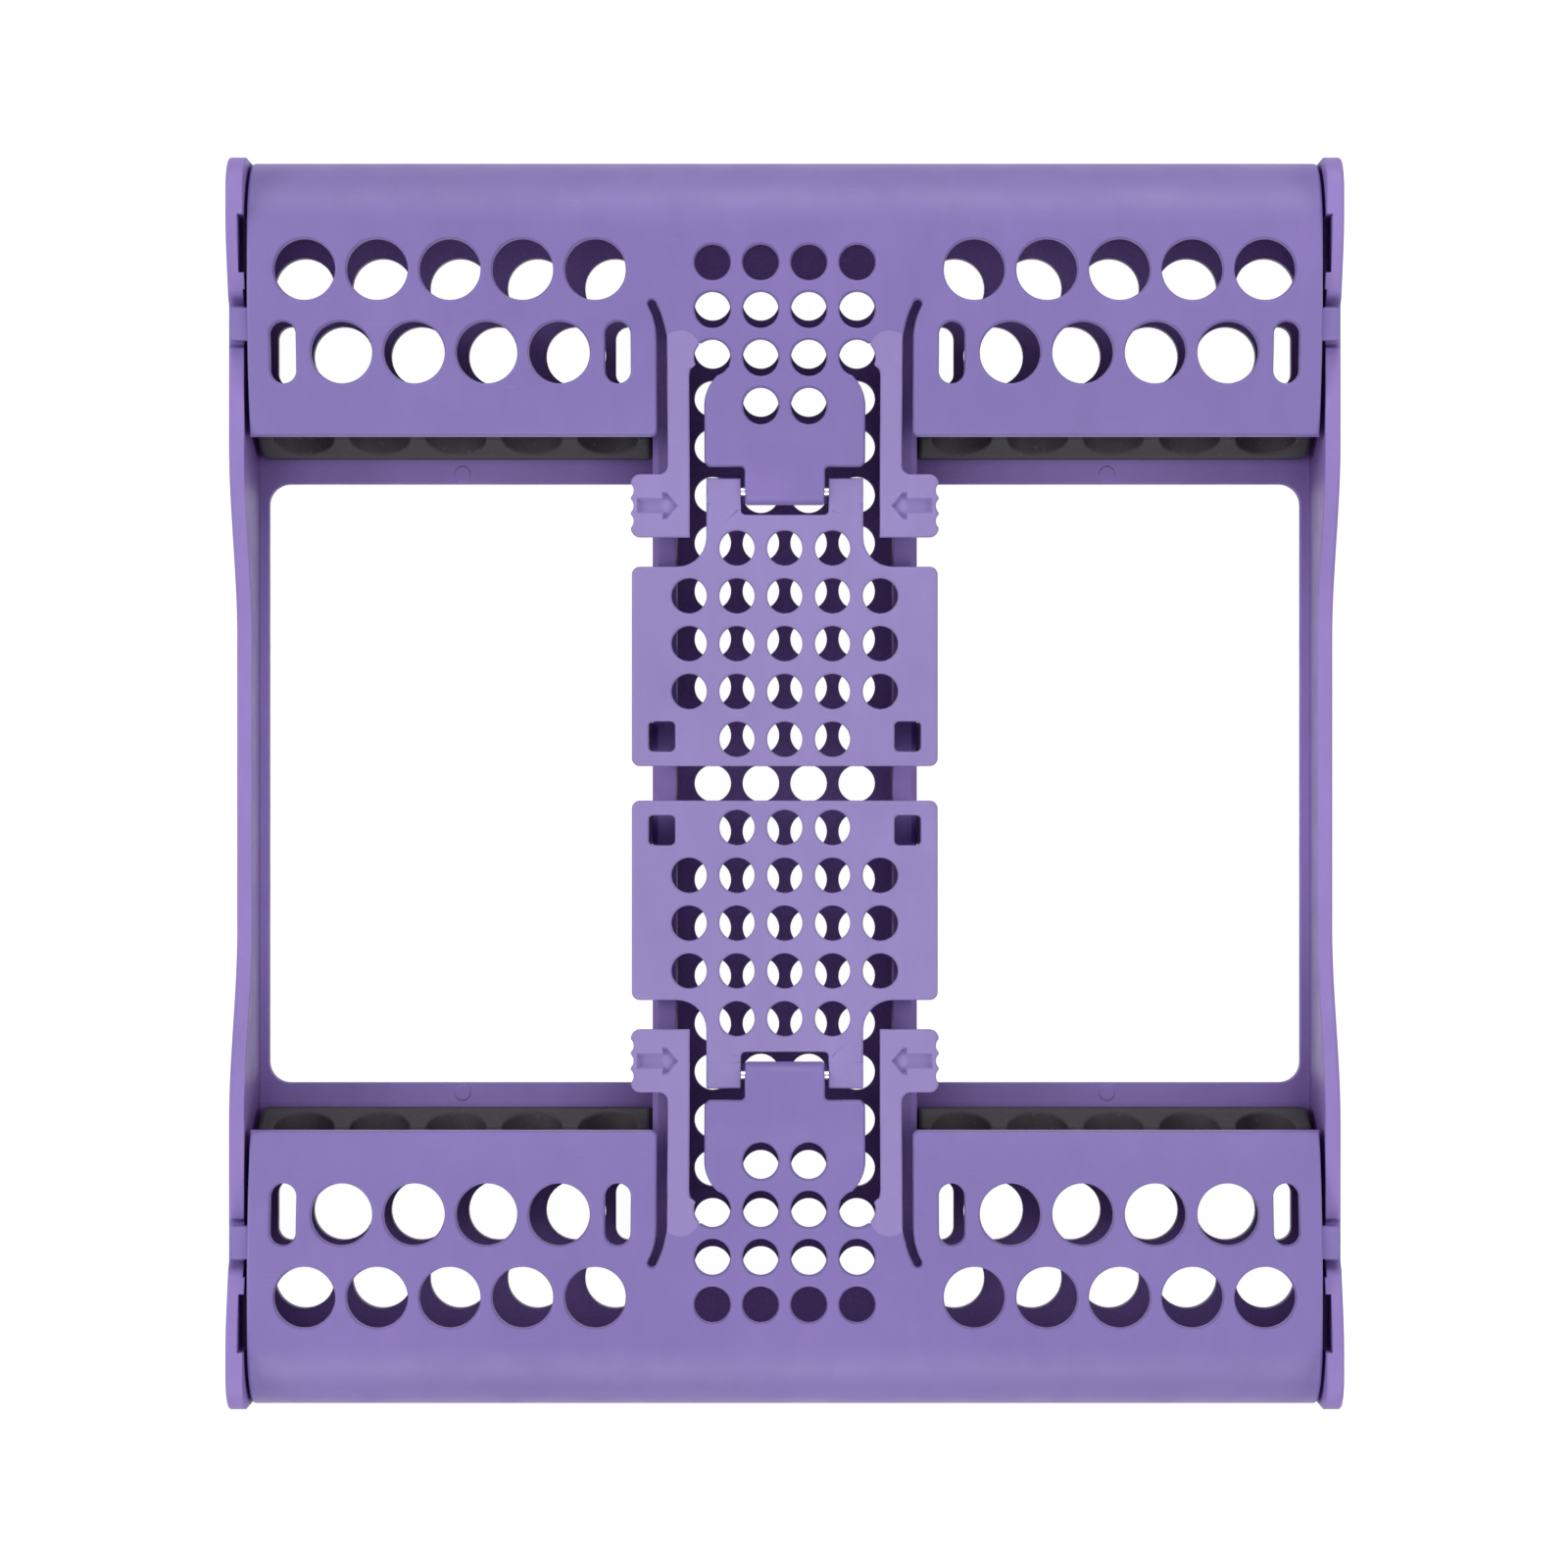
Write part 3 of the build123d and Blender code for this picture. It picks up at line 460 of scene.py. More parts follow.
def mouldedSheet(name, outline, windows, rows, values, material, squareNear=None):
    # the flat sheet in millimetres, with its top at z = 0; squareNear names places with no rounding
    inset = values["rim"] + values["apron"]
    mesh = bpy.data.meshes.new(name)
    places, edges, sides = [], [], []
    for points, isHole in [(outline, False)] + [(w, True) for w in windows]:
        loop, side = sideVectors(points, inset, isHole)
        if squareNear:
            loop, side = squareNear(loop, side)
        base = len(places)
        places += [(x, y, 0.0) for x, y in loop]
        sides += [(x, y, 0.0) for x, y in side]
        edges += [(base + i, base + (i + 1) % len(loop)) for i in range(len(loop))]
    mesh.from_pydata(places, edges, [])
    attribute = mesh.attributes.new("side", "FLOAT_VECTOR", "POINT")
    attribute.data.foreach_set("vector", [c for s in sides for c in s])
    sheet = bpy.data.objects.new(name, mesh)
    bpy.context.scene.collection.objects.link(sheet)
    modifier = sheet.modifiers.new("sheet", "NODES")
    modifier.node_group = makeSheetTree(name + "Tree", rows, material)
    sockets = {s.name: s.identifier for s in modifier.node_group.interface.items_tree if s.in_out == "INPUT"}
    for label, key in (("Thickness", "thickness"), ("Rim", "rim"), ("Apron", "apron"), ("Draft", "draft")):
        modifier[sockets[label]] = float(values.get(key, 0.0))
    bpy.context.view_layer.update()
    evaluated = sheet.evaluated_get(bpy.context.evaluated_depsgraph_get())
    flat = bpy.data.meshes.new_from_object(evaluated)
    bpy.data.objects.remove(sheet)
    bm = bmesh.new()
    bm.from_mesh(flat)
    bmesh.ops.dissolve_degenerate(bm, dist=0.0005, edges=bm.edges)
    bmesh.ops.holes_fill(bm, edges=[e for e in bm.edges if len(e.link_faces) == 1], sides=0)
    bmesh.ops.recalc_face_normals(bm, faces=bm.faces)
    bad = sum(1 for e in bm.edges if len(e.link_faces) != 2)
    print("  ", name, len(bm.faces), "faces,", bad, "open edges")
    return bm


# outlines and solids, in millimetres

def roundedLoop(corners, steps=7):
    # a closed outline through (x, y, radius) corners
    points = []
    count = len(corners)
    for i, (x, y, radius) in enumerate(corners):
        here = Vector((x, y))
        before = Vector(corners[i - 1][:2]) - here
        after = Vector(corners[(i + 1) % count][:2]) - here
        if not radius:
            points.append((x, y))
            continue
        before.normalize()
        after.normalize()
        half = before.angle(after) / 2
        centre = here + (before + after).normalized() * (radius / math.sin(half))
        start = here + before * (radius / math.tan(half)) - centre
        finish = here + after * (radius / math.tan(half)) - centre
        sweep = math.pi - 2 * half
        turn = -1 if start.x * finish.y - start.y * finish.x < 0 else 1
        for k in range(steps + 1):
            angle = turn * sweep * k / steps
            points.append((centre.x + start.x * math.cos(angle) - start.y * math.sin(angle),
                           centre.y + start.x * math.sin(angle) + start.y * math.cos(angle)))
    return points


def arcPoints(centreY, centreZ, radius, startDegrees, endDegrees, steps=24):
    angles = [math.radians(startDegrees + (endDegrees - startDegrees) * k / steps) for k in range(steps + 1)]
    return [(centreY + radius * math.cos(a), centreZ + radius * math.sin(a)) for a in angles]


softenFrom = math.radians(32)  # edges that turn more than this are softened
creaseFrom = math.radians(38)  # edges that turn less than this are shaded smooth


def prismX(bm, outline, startX, endX, edge=0.25):
    # a solid with a (y, z) outline, carried along X, with softened ends
    part = bmesh.new()
    ends = []
    for x in (startX, endX):
        ends.append([part.verts.new((x, y, z)) for y, z in outline])
    count = len(outline)
    part.faces.new(ends[0])
    part.faces.new(ends[1])
    for i in range(count):
        j = (i + 1) % count
        part.faces.new((ends[0][i], ends[0][j], ends[1][j], ends[1][i]))
    bmesh.ops.recalc_face_normals(part, faces=part.faces)
    if edge:
        sharp = [e for e in part.edges if e.calc_face_angle(0.0) > softenFrom]
        bmesh.ops.bevel(part, geom=sharp, offset=edge, segments=3, profile=0.5, affect="EDGES",
                        clamp_overlap=True)
    addTo(bm, part)


def addTo(bm, part):
    loose = bpy.data.meshes.new("loose")
    part.to_mesh(loose)
    part.free()
    bm.from_mesh(loose)
    bpy.data.meshes.remove(loose)


def pieceFrom(bm, name, material, turned=False, mirrored=False):
    # the finished mesh object, in metres, turned half round for the front set
    if mirrored:
        for vert in bm.verts:
            vert.co.x = -vert.co.x
        bmesh.ops.reverse_faces(bm, faces=bm.faces)
    if turned:
        for vert in bm.verts:
            vert.co.x, vert.co.y = -vert.co.x, -vert.co.y
    for vert in bm.verts:
        vert.co *= mm
    for face in bm.faces:
        face.smooth = True
        face.material_index = 0
    for edge in bm.edges:
        edge.smooth = edge.calc_face_angle(0.0) < creaseFrom
    mesh = bpy.data.meshes.new(name)
    bm.to_mesh(mesh)
    mesh.materials.clear()
    mesh.materials.append(material)
    piece = bpy.data.objects.new(name, mesh)
    bpy.context.scene.collection.objects.link(piece)
    return piece


def topOutline(node, isTop, flatten):
    # the longest loop of edges that bounds a CAD node's upper surface, as flat (x, y) points
    bm = bmesh.new()
    bm.from_mesh(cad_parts[node].data)
    bmesh.ops.remove_doubles(bm, verts=bm.verts, dist=0.0000015)
    for vert in bm.verts:
        vert.co /= mm
    top = {f for f in bm.faces if all(isTop(v.co) for v in f.verts)}
    follow = {}
    for face in top:
        for loop in face.loops:
            other = [f for f in loop.edge.link_faces if f is not face]
            if not other or other[0] not in top:
                follow[loop.vert] = loop.link_loop_next.vert
    best = []
    while follow:
        start = next(iter(follow))
        chain, here = [start], follow.pop(start)
        while here is not start and here in follow:
            chain.append(here)
            here = follow.pop(here)
        points = [flatten(v.co) for v in chain]
        if not best or abs(signedArea(points)) > abs(signedArea(best)):
            best = points
    bm.free()
    return best


# the two ends of the cassette, and its four quarters with their side
bothEnds = (("rear", False), ("front", True))  # turned half round or not
quarters = (  # end, side, turned half round, mirrored
    ("rear", "right", False, False), ("rear", "left", False, True),
    ("front", "left", True, False), ("front", "right", True, True),
)

lidValues = {
    "thickness": 2.1, "rim": 0.42, "apron": 0.12, "draft": 0.1,
    "top": 30.6, "hingeY": 89.7, "hingeZ": 18.8, "endRadius": 11.8, "lip": 1.2,
    "crownStart": 83.0, "crownRadius": 75.0, "wingEdge": 56.5, "deckStart": 48.5,
    "half": 86.9, "skirt": 2.0, "low": 17.3, "ribWidth": 3.5, "ribDepth": 2.2, "sideSlope": 1.0,
    "bossRadius": 6.2, "trunnionRadius": 4.0, "trunnionEnd": 90.1,
    "tabNear": 77.0, "tabFar": 71.7, "tabLow": 26.7, "tabThickness": 2.4, "tabEnd": 89.7, "tabChamfer": 1.0,
    "pinY": 47.6, "knuckleRadius": 2.2, "knuckleHalf": 6.46, "boreRadius": 0.84,
    "stepHalf": 6.95, "stepDrop": 1.0,
    "bayCentre": 54.125, "holeRadius": 5.0, "holePitch": 11.75, "outerRow": 83.1, "innerRow": 69.8,
    "slotWidth": 4.3, "slotLength": 10.0, "slotReach": 27.1,
    "smallRadius": 2.98, "smallPitch": 7.8,
    "smallRows": (84.25, 76.6, 68.95, 61.3), "smallCounts": (4, 4, 2, 2),
    "rootX": 16.9, "rootY": 70.0, "rootRadius": 3.2, "rootGap": 0.012,
    "cutsSag": 8, "cutsCrown": 14, "cutsEnd": 22,
    "softCorners": [((20.85, 56.5), 0.9), ((6.46, 51.7), 0.7)],
    "near": 0.012,  # how near a point must lie to count as on the lid's top
}


def crownAngle(v=lidValues):
    return math.asin((v["crownStart"] - v["wingEdge"]) / v["crownRadius"])


def sagRadius(v=lidValues):
    return (v["wingEdge"] - v["deckStart"]) / math.sin(crownAngle())


def deckTop(v=lidValues):
    wingTop = v["top"] - v["crownRadius"] * (1 - math.cos(crownAngle()))
    return wingTop - sagRadius() * (1 - math.cos(crownAngle()))


def heightAndSlope(y, v=lidValues):
    # the lid's top along its length, from the deck to the hinge line, and how steep it is
    if y <= v["deckStart"]:
        return deckTop(), 0.0
    if y <= v["wingEdge"]:
        slope = math.asin((y - v["deckStart"]) / sagRadius())
        return deckTop() + sagRadius() * (1 - math.cos(slope)), slope
    if y <= v["crownStart"]:
        slope = math.asin((v["crownStart"] - y) / v["crownRadius"])
        return v["top"] - v["crownRadius"] * (1 - math.cos(slope)), slope
    return v["top"], 0.0


def onLidTop(place, v=lidValues):
    if place.y <= v["hingeY"]:
        return abs(place.z - heightAndSlope(place.y)[0]) < v["near"]
    radius = math.hypot(place.y - v["hingeY"], place.z - v["hingeZ"])
    lip = place.z < v["hingeZ"] and abs(place.y - v["hingeY"] - v["endRadius"]) < v["near"]
    curved = abs(radius - v["endRadius"]) < v["near"]
    return place.z > v["hingeZ"] - v["lip"] - 0.01 and (lip or curved)


def lidFlat(place, v=lidValues):
    # a point of the lid's top as (x, distance along the sheet)
    y, z = place.y, place.z
    if y > v["hingeY"]:
        if z < v["hingeZ"]:
            return place.x, v["hingeY"] + v["endRadius"] * math.pi / 2 + v["hingeZ"] - z
        return place.x, v["hingeY"] + v["endRadius"] * math.atan2(y - v["hingeY"], z - v["hingeZ"])
    return place.x, y


def lidCurved(place, v=lidValues):
    # back from the flat sheet to the curved lid; holes keep upright walls
    x, u, depth = place
    if u <= v["hingeY"]:
        height, slope = heightAndSlope(u)
        return Vector((x, u, height + depth / math.cos(slope)))
    angle = min((u - v["hingeY"]) / v["endRadius"], math.pi / 2)
    beyond = u - v["hingeY"] - v["endRadius"] * angle
    radius = v["endRadius"] + depth
    height = v["hingeZ"] + radius * math.cos(angle) - beyond
    return Vector((x, v["hingeY"] + radius * math.sin(angle), height))


def cutAcross(bm, places, along=(0, 1, 0)):
    # lines of cuts across the sheet, so that it can bend
    for place in places:
        geometry = bm.verts[:] + bm.edges[:] + bm.faces[:]
        bmesh.ops.bisect_plane(bm, geom=geometry, dist=0.0005, plane_co=Vector(along) * place, plane_no=along)


def bendToLid(bm, v=lidValues):
    low = min(p.co.y for p in bm.verts)
    high = max(p.co.y for p in bm.verts)
    spans = [(v["deckStart"], v["wingEdge"], v["cutsSag"]),
             (v["wingEdge"], v["crownStart"], v["cutsCrown"]),
             (v["crownStart"], v["hingeY"], 1),
             (v["hingeY"], v["hingeY"] + v["endRadius"] * math.pi / 2, v["cutsEnd"])]
    cuts = sorted({start + (end - start) * k / count
                   for start, end, count in spans for k in range(count + 1)})
    cutAcross(bm, [y for y in cuts if low + 0.01 < y < high - 0.01])
    for vert in bm.verts:
        vert.co = lidCurved(vert.co)


def lidRows(v=lidValues):
    rows = []
    for centre in (-v["bayCentre"], v["bayCentre"]):
        for count, y in ((5, v["outerRow"]), (4, v["innerRow"])):
            rows.append({"count": count, "pitch": v["holePitch"], "centre": (centre, y),
                         "radius": v["holeRadius"]})
        rows.append({"count": 2, "pitch": 2 * v["slotReach"], "centre": (centre, v["innerRow"]),
                     "radius": v["slotWidth"] / 2, "slotLength": v["slotLength"] - v["slotWidth"]})
    for y, count in zip(v["smallRows"], v["smallCounts"]):
        rows.append({"count": count, "pitch": v["smallPitch"], "centre": (0.0, y),
                     "radius": v["smallRadius"]})
    return rows


def lidSideParts(bm, v=lidValues):
    # the skirt, rib, pivot and rest tab on both sides; all run into the sheet to half its thickness
    half, inner, middle = v["half"], v["half"] - v["skirt"], v["thickness"] / 2
    top = [(y, heightAndSlope(y)[0] - middle) for y in np.linspace(v["wingEdge"] + 0.3, v["hingeY"], 24)]
    end = arcPoints(v["hingeY"], v["hingeZ"], v["endRadius"] - middle, 88, 0, 20)
    foot = v["hingeZ"] - v["lip"]
    skirt = top + end + [(end[-1][0], foot), (v["hingeY"], foot), (v["hingeY"], v["low"]),
                         (v["wingEdge"] + v["sideSlope"], v["low"])]
    ribTop = top[0][1]
    rib = [(v["wingEdge"] + v["sideSlope"], v["low"]), (v["wingEdge"] + 0.1, ribTop),
           (v["wingEdge"] + v["ribDepth"], ribTop), (v["wingEdge"] + v["ribDepth"], v["low"])]
    boss = arcPoints(v["hingeY"], v["hingeZ"], v["bossRadius"], 0, 352.5, 47)
    trunnion = arcPoints(v["hingeY"], v["hingeZ"], v["trunnionRadius"], 0, 352.5, 47)
    low, high = v["tabLow"], v["tabLow"] + v["tabThickness"]
    tab = [(v["tabFar"], low), (v["tabNear"] - v["tabChamfer"], low), (v["tabNear"], low + v["tabChamfer"]),
           (v["tabNear"], high), (v["tabFar"], high)]
    parts = (  # outline, where it starts and ends across, how far its edges are softened
        (skirt, inner, half - 0.02, 0.3),
        (rib, half - v["ribWidth"], half - 0.03, 0.3),
        (boss, inner + 0.02, half - 0.01, 0.3),
        (tab, inner, v["tabEnd"], 0.3),
        (trunnion, half - 1.0, v["trunnionEnd"], 0.5),
    )
    for side in (-1, 1):
        for outline, near, far, edge in parts:
            start, finish = sorted((side * near, side * far))
            prismX(bm, outline, start, finish, edge)


def plateAcross(bm, name, outline, bore, values, endX, material):
    # a plate with a (y, z) outline and a bore, standing across X, with its outer face at endX
    rows = [{"count": 1, "centre": bore[:2], "radius": bore[2]}] if bore else []
    plate = mouldedSheet(name, outline, [], rows, values, material)
    for vert in plate.verts:
        y, z, depth = vert.co
        vert.co = (endX + depth, y, z)
    addTo(bm, plate)


def circlePoints(a, b, radius, count=48):
    turns = [2 * math.pi * k / count for k in range(count)]
    return [(a + radius * math.cos(t), b + radius * math.sin(t)) for t in turns]


def squareRoot(radius):
    # the arm's root is one with the lid to the eye, so the joint between them is a square-edged hairline,
    # and the tongue's end runs into the knuckle without an edge
    def change(loop, side, v=lidValues):
        for i, place in enumerate(loop):
            if place[1] < v["pinY"] + 0.01 and abs(place[0]) < v["knuckleHalf"] + 0.1:
                corner = abs(place[0]) > v["knuckleHalf"] - 0.1
                side[i] = (side[i][0] / max(abs(side[i][0]), 1e-6), 0.0) if corner else 0.0
            centre = np.array((math.copysign(v["rootX"], place[0]), v["rootY"]))
            away = place - centre
            reach = np.linalg.norm(away)
            if abs(reach - v["rootRadius"]) < 0.12:
                loop[i] = centre + away / reach * radius
                side[i] = 0.0
        return loop, side
    return change


def softCorner(points, place, radius, steps=5):
    # rounds the corner of an outline nearest to a place
    i = min(range(len(points)), key=lambda k: math.dist(points[k], place))
    before, after = points[i - 1], points[(i + 1) % len(points)]
    rounded = roundedLoop([(*before, 0), (*points[i], radius), (*after, 0)], steps)
    return points[:i] + rounded[1:-1] + points[i + 1:]


def buildLid(end, turned):
    v = lidValues
    outline = topOutline("rear_lid", onLidTop, lidFlat)
    outline = [(x, max(y, v["pinY"])) for x, y in outline]
    for side in (-1, 1):
        for (x, y), radius in v["softCorners"]:
            outline = softCorner(outline, (side * x, y), radius)
    bm = mouldedSheet(end + "LidSheet", withoutNicks(outline), [], lidRows(), v, lidResin,
                      squareRoot(v["rootRadius"] + v["rootGap"]))
    bendToLid(bm)
    pinZ = deckTop() - v["knuckleRadius"]
    barrel = {"thickness": 2 * v["knuckleHalf"], "rim": v["rim"], "apron": 0.1}
    plateAcross(bm, end + "Knuckle", circlePoints(v["pinY"], pinZ, v["knuckleRadius"]),
                (v["pinY"], pinZ, v["boreRadius"]), barrel, v["knuckleHalf"], lidResin)
    dip = math.degrees(math.asin(v["stepDrop"] / v["knuckleRadius"]))
    prismX(bm, arcPoints(v["pinY"], pinZ, v["knuckleRadius"] - 0.01, 180 + dip, 360 - dip, 30),
           -v["stepHalf"], v["stepHalf"], 0.2)
    lidSideParts(bm)
    piece = pieceFrom(bm, end + "LidShell", lidResin, turned)
    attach(piece, end + "_lid_body")
    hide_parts(end + "_lid")


for end, turned in bothEnds:
    buildLid(end, turned)
print("lids made")


armValues = {
    "thickness": 2.1, "rim": 0.40, "apron": 0.1,
    "gripMiddle": 45.205,
    "arrow": {"tail": 24.0, "barb": 19.9, "blunt": 0.75, "tip": 17.4, "shaft": 1.2, "head": 2.2,
              "depth": 0.8, "slope": 0.3, "tipMitre": 1.35, "bluntMitre": 0.4},
    "leg": {"x": (15.9, 17.4), "y": (42.2, 48.2), "z": (15.85, 23.25)},
}


def arrowOutline(inset, v=armValues["arrow"]):
    # an arrow to the middle, drawn in by an inset
    tail, barb = v["tail"] - inset, v["barb"] - inset
    blunt = v["barb"] - v["blunt"] - v["bluntMitre"] * inset
    half = [(tail, v["shaft"] - inset), (barb, v["shaft"] - inset), (barb, v["head"] - inset),
            (blunt, v["head"] - inset), (v["tip"] + v["tipMitre"] * inset, 0.0)]
    return half + [(x, -y) for x, y in reversed(half[:-1])]


def loftBetween(low, high, lowZ, highZ):
    # a closed solid between two outlines at two heights
    part = bmesh.new()
    rings = [[part.verts.new((x, y, z)) for x, y in ring] for ring, z in ((low, lowZ), (high, highZ))]
    for ring in rings:
        part.faces.new(ring)
    for i in range(len(low)):
        j = (i + 1) % len(low)
        part.faces.new((rings[0][i], rings[0][j], rings[1][j], rings[1][i]))
    bmesh.ops.recalc_face_normals(part, faces=part.faces)
    return part


def carve(bm, cutter):
    # takes a solid out of a mesh
    objects = []
    for part in (bm, cutter):
        mesh = bpy.data.meshes.new("carving")
        part.to_mesh(mesh)
        part.free()
        objects.append(bpy.data.objects.new("carving", mesh))
        bpy.context.scene.collection.objects.link(objects[-1])
    modifier = objects[0].modifiers.new("carve", "BOOLEAN")
    modifier.operation = "DIFFERENCE"
    modifier.solver = "EXACT"
    modifier.object = objects[1]
    evaluated = objects[0].evaluated_get(bpy.context.evaluated_depsgraph_get())
    carved = bmesh.new()
    carved.from_mesh(bpy.data.meshes.new_from_object(evaluated))
    for item in objects:
        bpy.data.objects.remove(item)
    return carved


def roundedBox(bm, x, y, z, edge=0.25):
    corners = [(y[0], z[0]), (y[1], z[0]), (y[1], z[1]), (y[0], z[1])]
    prismX(bm, corners, x[0], x[1], edge)


def buildArm(end, side, turned, mirrored):
    v = armValues
    outline = topOutline("rear_right_latch_arm", onLidTop, lidFlat)
    bm = mouldedSheet(end + side + "ArmSheet", withoutNicks(outline), [], [], v, armResin,
                      squareRoot(lidValues["rootRadius"]))
    pocket, middle, spare = v["arrow"], v["gripMiddle"], 0.1
    cutter = loftBetween([(x, y + middle) for x, y in arrowOutline(pocket["slope"])],
                         [(x, y + middle) for x, y in arrowOutline(-spare)], -pocket["depth"], spare)
    bm = carve(bm, cutter)
    bendToLid(bm)
    roundedBox(bm, v["leg"]["x"], v["leg"]["y"], v["leg"]["z"])
    name = end + "_" + side + "_latch"
    piece = pieceFrom(bm, end + side.capitalize() + "LatchArm", armResin, turned, mirrored)
    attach(piece, name + "_body")
    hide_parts(name + "_arm")


for end, side, turned, mirrored in quarters:
    buildArm(end, side, turned, mirrored)
print("latch arms made")


coverValues = {
    "thickness": 2.0, "rim": 0.45, "apron": 0.12,
    "top": 23.1019, "half": 24.95, "inner": 2.8, "shoulder": 35.35, "corner": 1.3,
    "neckHalf": 12.8, "neckFillet": 4.8, "earEnd": 49.54, "earCorner": 0.25,
    "notchHalf": 7.15, "notchY": 43.8, "notchCorner": 0.8,
    "holeRadius": 2.87, "holePitch": 7.8, "firstRow": 7.2, "rowCounts": (3, 5, 5, 5, 3),
    "window": (4.3, 4.9), "windowCentre": (20.05, 7.65), "windowCorner": 0.8,
    "under": [  # snap leg, its barb and the seat rib, each as x, y and z
        ((22.2, 23.5), (5.2, 10.1), (14.4, 22.1)),
        ((21.8, 23.5), (5.2, 10.1), (13.2, 14.4)),
        ((18.8, 19.8), (11.1, 34.35), (18.4, 22.1)),
    ],
    "earInset": 0.01, "barrelDrop": 0.01,  # the ears lie this far inside the cover's faces
}


def coverOutline(v=coverValues):
    half = [(v["half"], v["inner"], v["corner"]), (v["half"], v["shoulder"], v["corner"]),
            (v["neckHalf"], v["shoulder"], v["neckFillet"]), (v["neckHalf"], v["earEnd"], v["earCorner"]),
            (v["notchHalf"], v["earEnd"], v["earCorner"]), (v["notchHalf"], v["notchY"], v["notchCorner"])]
    return roundedLoop(half + [(-x, y, r) for x, y, r in reversed(half)])


def buildCover(end, turned):
    v = coverValues
    windows = []
    for side in (-1, 1):
        x, y = side * v["windowCentre"][0], v["windowCentre"][1]
        w, h, r = v["window"][0] / 2, v["window"][1] / 2, v["windowCorner"]
        windows.append(roundedLoop([(x - w, y - h, r), (x + w, y - h, r),
                                    (x + w, y + h, r), (x - w, y + h, r)]))
    rows = [{"count": count, "pitch": v["holePitch"], "radius": v["holeRadius"],
             "centre": (0.0, v["firstRow"] + step * v["holePitch"])}
            for step, count in enumerate(v["rowCounts"])]
    bm = mouldedSheet(end + "CoverSheet", coverOutline(), windows, rows, v, coverResin)
    for vert in bm.verts:
        vert.co.z += v["top"]
    radius, pinY = lidValues["knuckleRadius"], lidValues["pinY"]
    pinZ = deckTop() - radius
    rise = v["top"] - v["barrelDrop"] - pinZ
    lean = math.degrees(math.asin(rise / radius))
    barrel = arcPoints(pinY, pinZ, radius, 180 - lean, 360 + lean, 44)
    inset = v["earInset"]
    ear = {"thickness": v["neckHalf"] - v["notchHalf"] - 2 * inset, "rim": 0.25, "apron": 0.08}
    for side in (-1, 1):
        outer = v["neckHalf"] - inset if side > 0 else -v["notchHalf"] - inset
        plateAcross(bm, end + "Ear", barrel, (pinY, pinZ, lidValues["boreRadius"]), ear, outer, coverResin)
        for x, y, z in v["under"]:
            roundedBox(bm, sorted((side * x[0], side * x[1])), y, z, 0.2)
    piece = pieceFrom(bm, end + "CoverShell", coverResin, turned)
    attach(piece, end + "_cover_body")
    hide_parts(end + "_cover")


for end, turned in bothEnds:
    buildCover(end, turned)
print("covers made")


railValues = {
    "thickness": 11.0, "rim": 0.35, "apron": 0.1,
    "x": (22.0, 86.9), "front": 54.1, "foot": 3.0, "top": 17.0, "endCorner": 1.2,
    "slopeFrom": 10.0, "slopeTo": 15.8, "slopeRun": 2.5, "crestRun": 4.0,
    "grooveCount": 5, "groovePitch": 12.55, "grooveRadius": 5.0, "grooveZ": 16.0, "grooveLip": 0.55,
    "pegs": (35.3, 72.95), "pegY": 60.6, "pegRadius": 2.0, "pegLow": 0.8, "pegInto": 0.2,
    "plan": 1.0,  # rounding of the ends, seen from above
}


def railOutline(v=railValues):
    # the rail seen from the window: a bar with a row of round grooves in its top
    middle = lidValues["bayCentre"]
    lipAngle = math.degrees(math.asin((v["top"] - v["grooveLip"] - v["grooveZ"]) / v["grooveRadius"]))
    mouth = math.sqrt(v["grooveRadius"] ** 2 - (v["top"] - v["grooveZ"]) ** 2)
    bottom = [(v["x"][0], v["foot"], 0.4), (v["x"][1], v["foot"], 0.4), (v["x"][1], v["top"], v["endCorner"])]
    points = roundedLoop(bottom + [(v["x"][0], v["top"], v["endCorner"])])
    last = next(i for i, p in enumerate(points) if p[1] > v["top"] - 0.001) + 1
    grooves = []
    for step in reversed(range(v["grooveCount"])):
        x = middle + (step - (v["grooveCount"] - 1) / 2) * v["groovePitch"]
        arc = arcPoints(x, v["grooveZ"], v["grooveRadius"], lipAngle, -180 - lipAngle, 40)
        lipStart, lipCorner = (x + mouth + v["grooveLip"], v["top"]), (x + mouth, v["top"])
        lip = [quadratic(lipStart, lipCorner, arc[0], k / 5) for k in range(5)]
        grooves += lip + arc + [(2 * x - a, b) for a, b in reversed(lip)]
    return points[:last] + grooves + points[last:]


def quadratic(start, corner, finish, t):
    return tuple((1 - t) ** 2 * a + 2 * t * (1 - t) * b + t * t * c for a, b, c in zip(start, corner, finish))


def railFront(z, v=railValues):
    # how far forward the rail stands at a height
    heights = (v["foot"], v["slopeFrom"], v["slopeTo"], v["top"])
    return v["front"] + float(np.interp(z, heights, (0.0, 0.0, v["slopeRun"], v["crestRun"])))


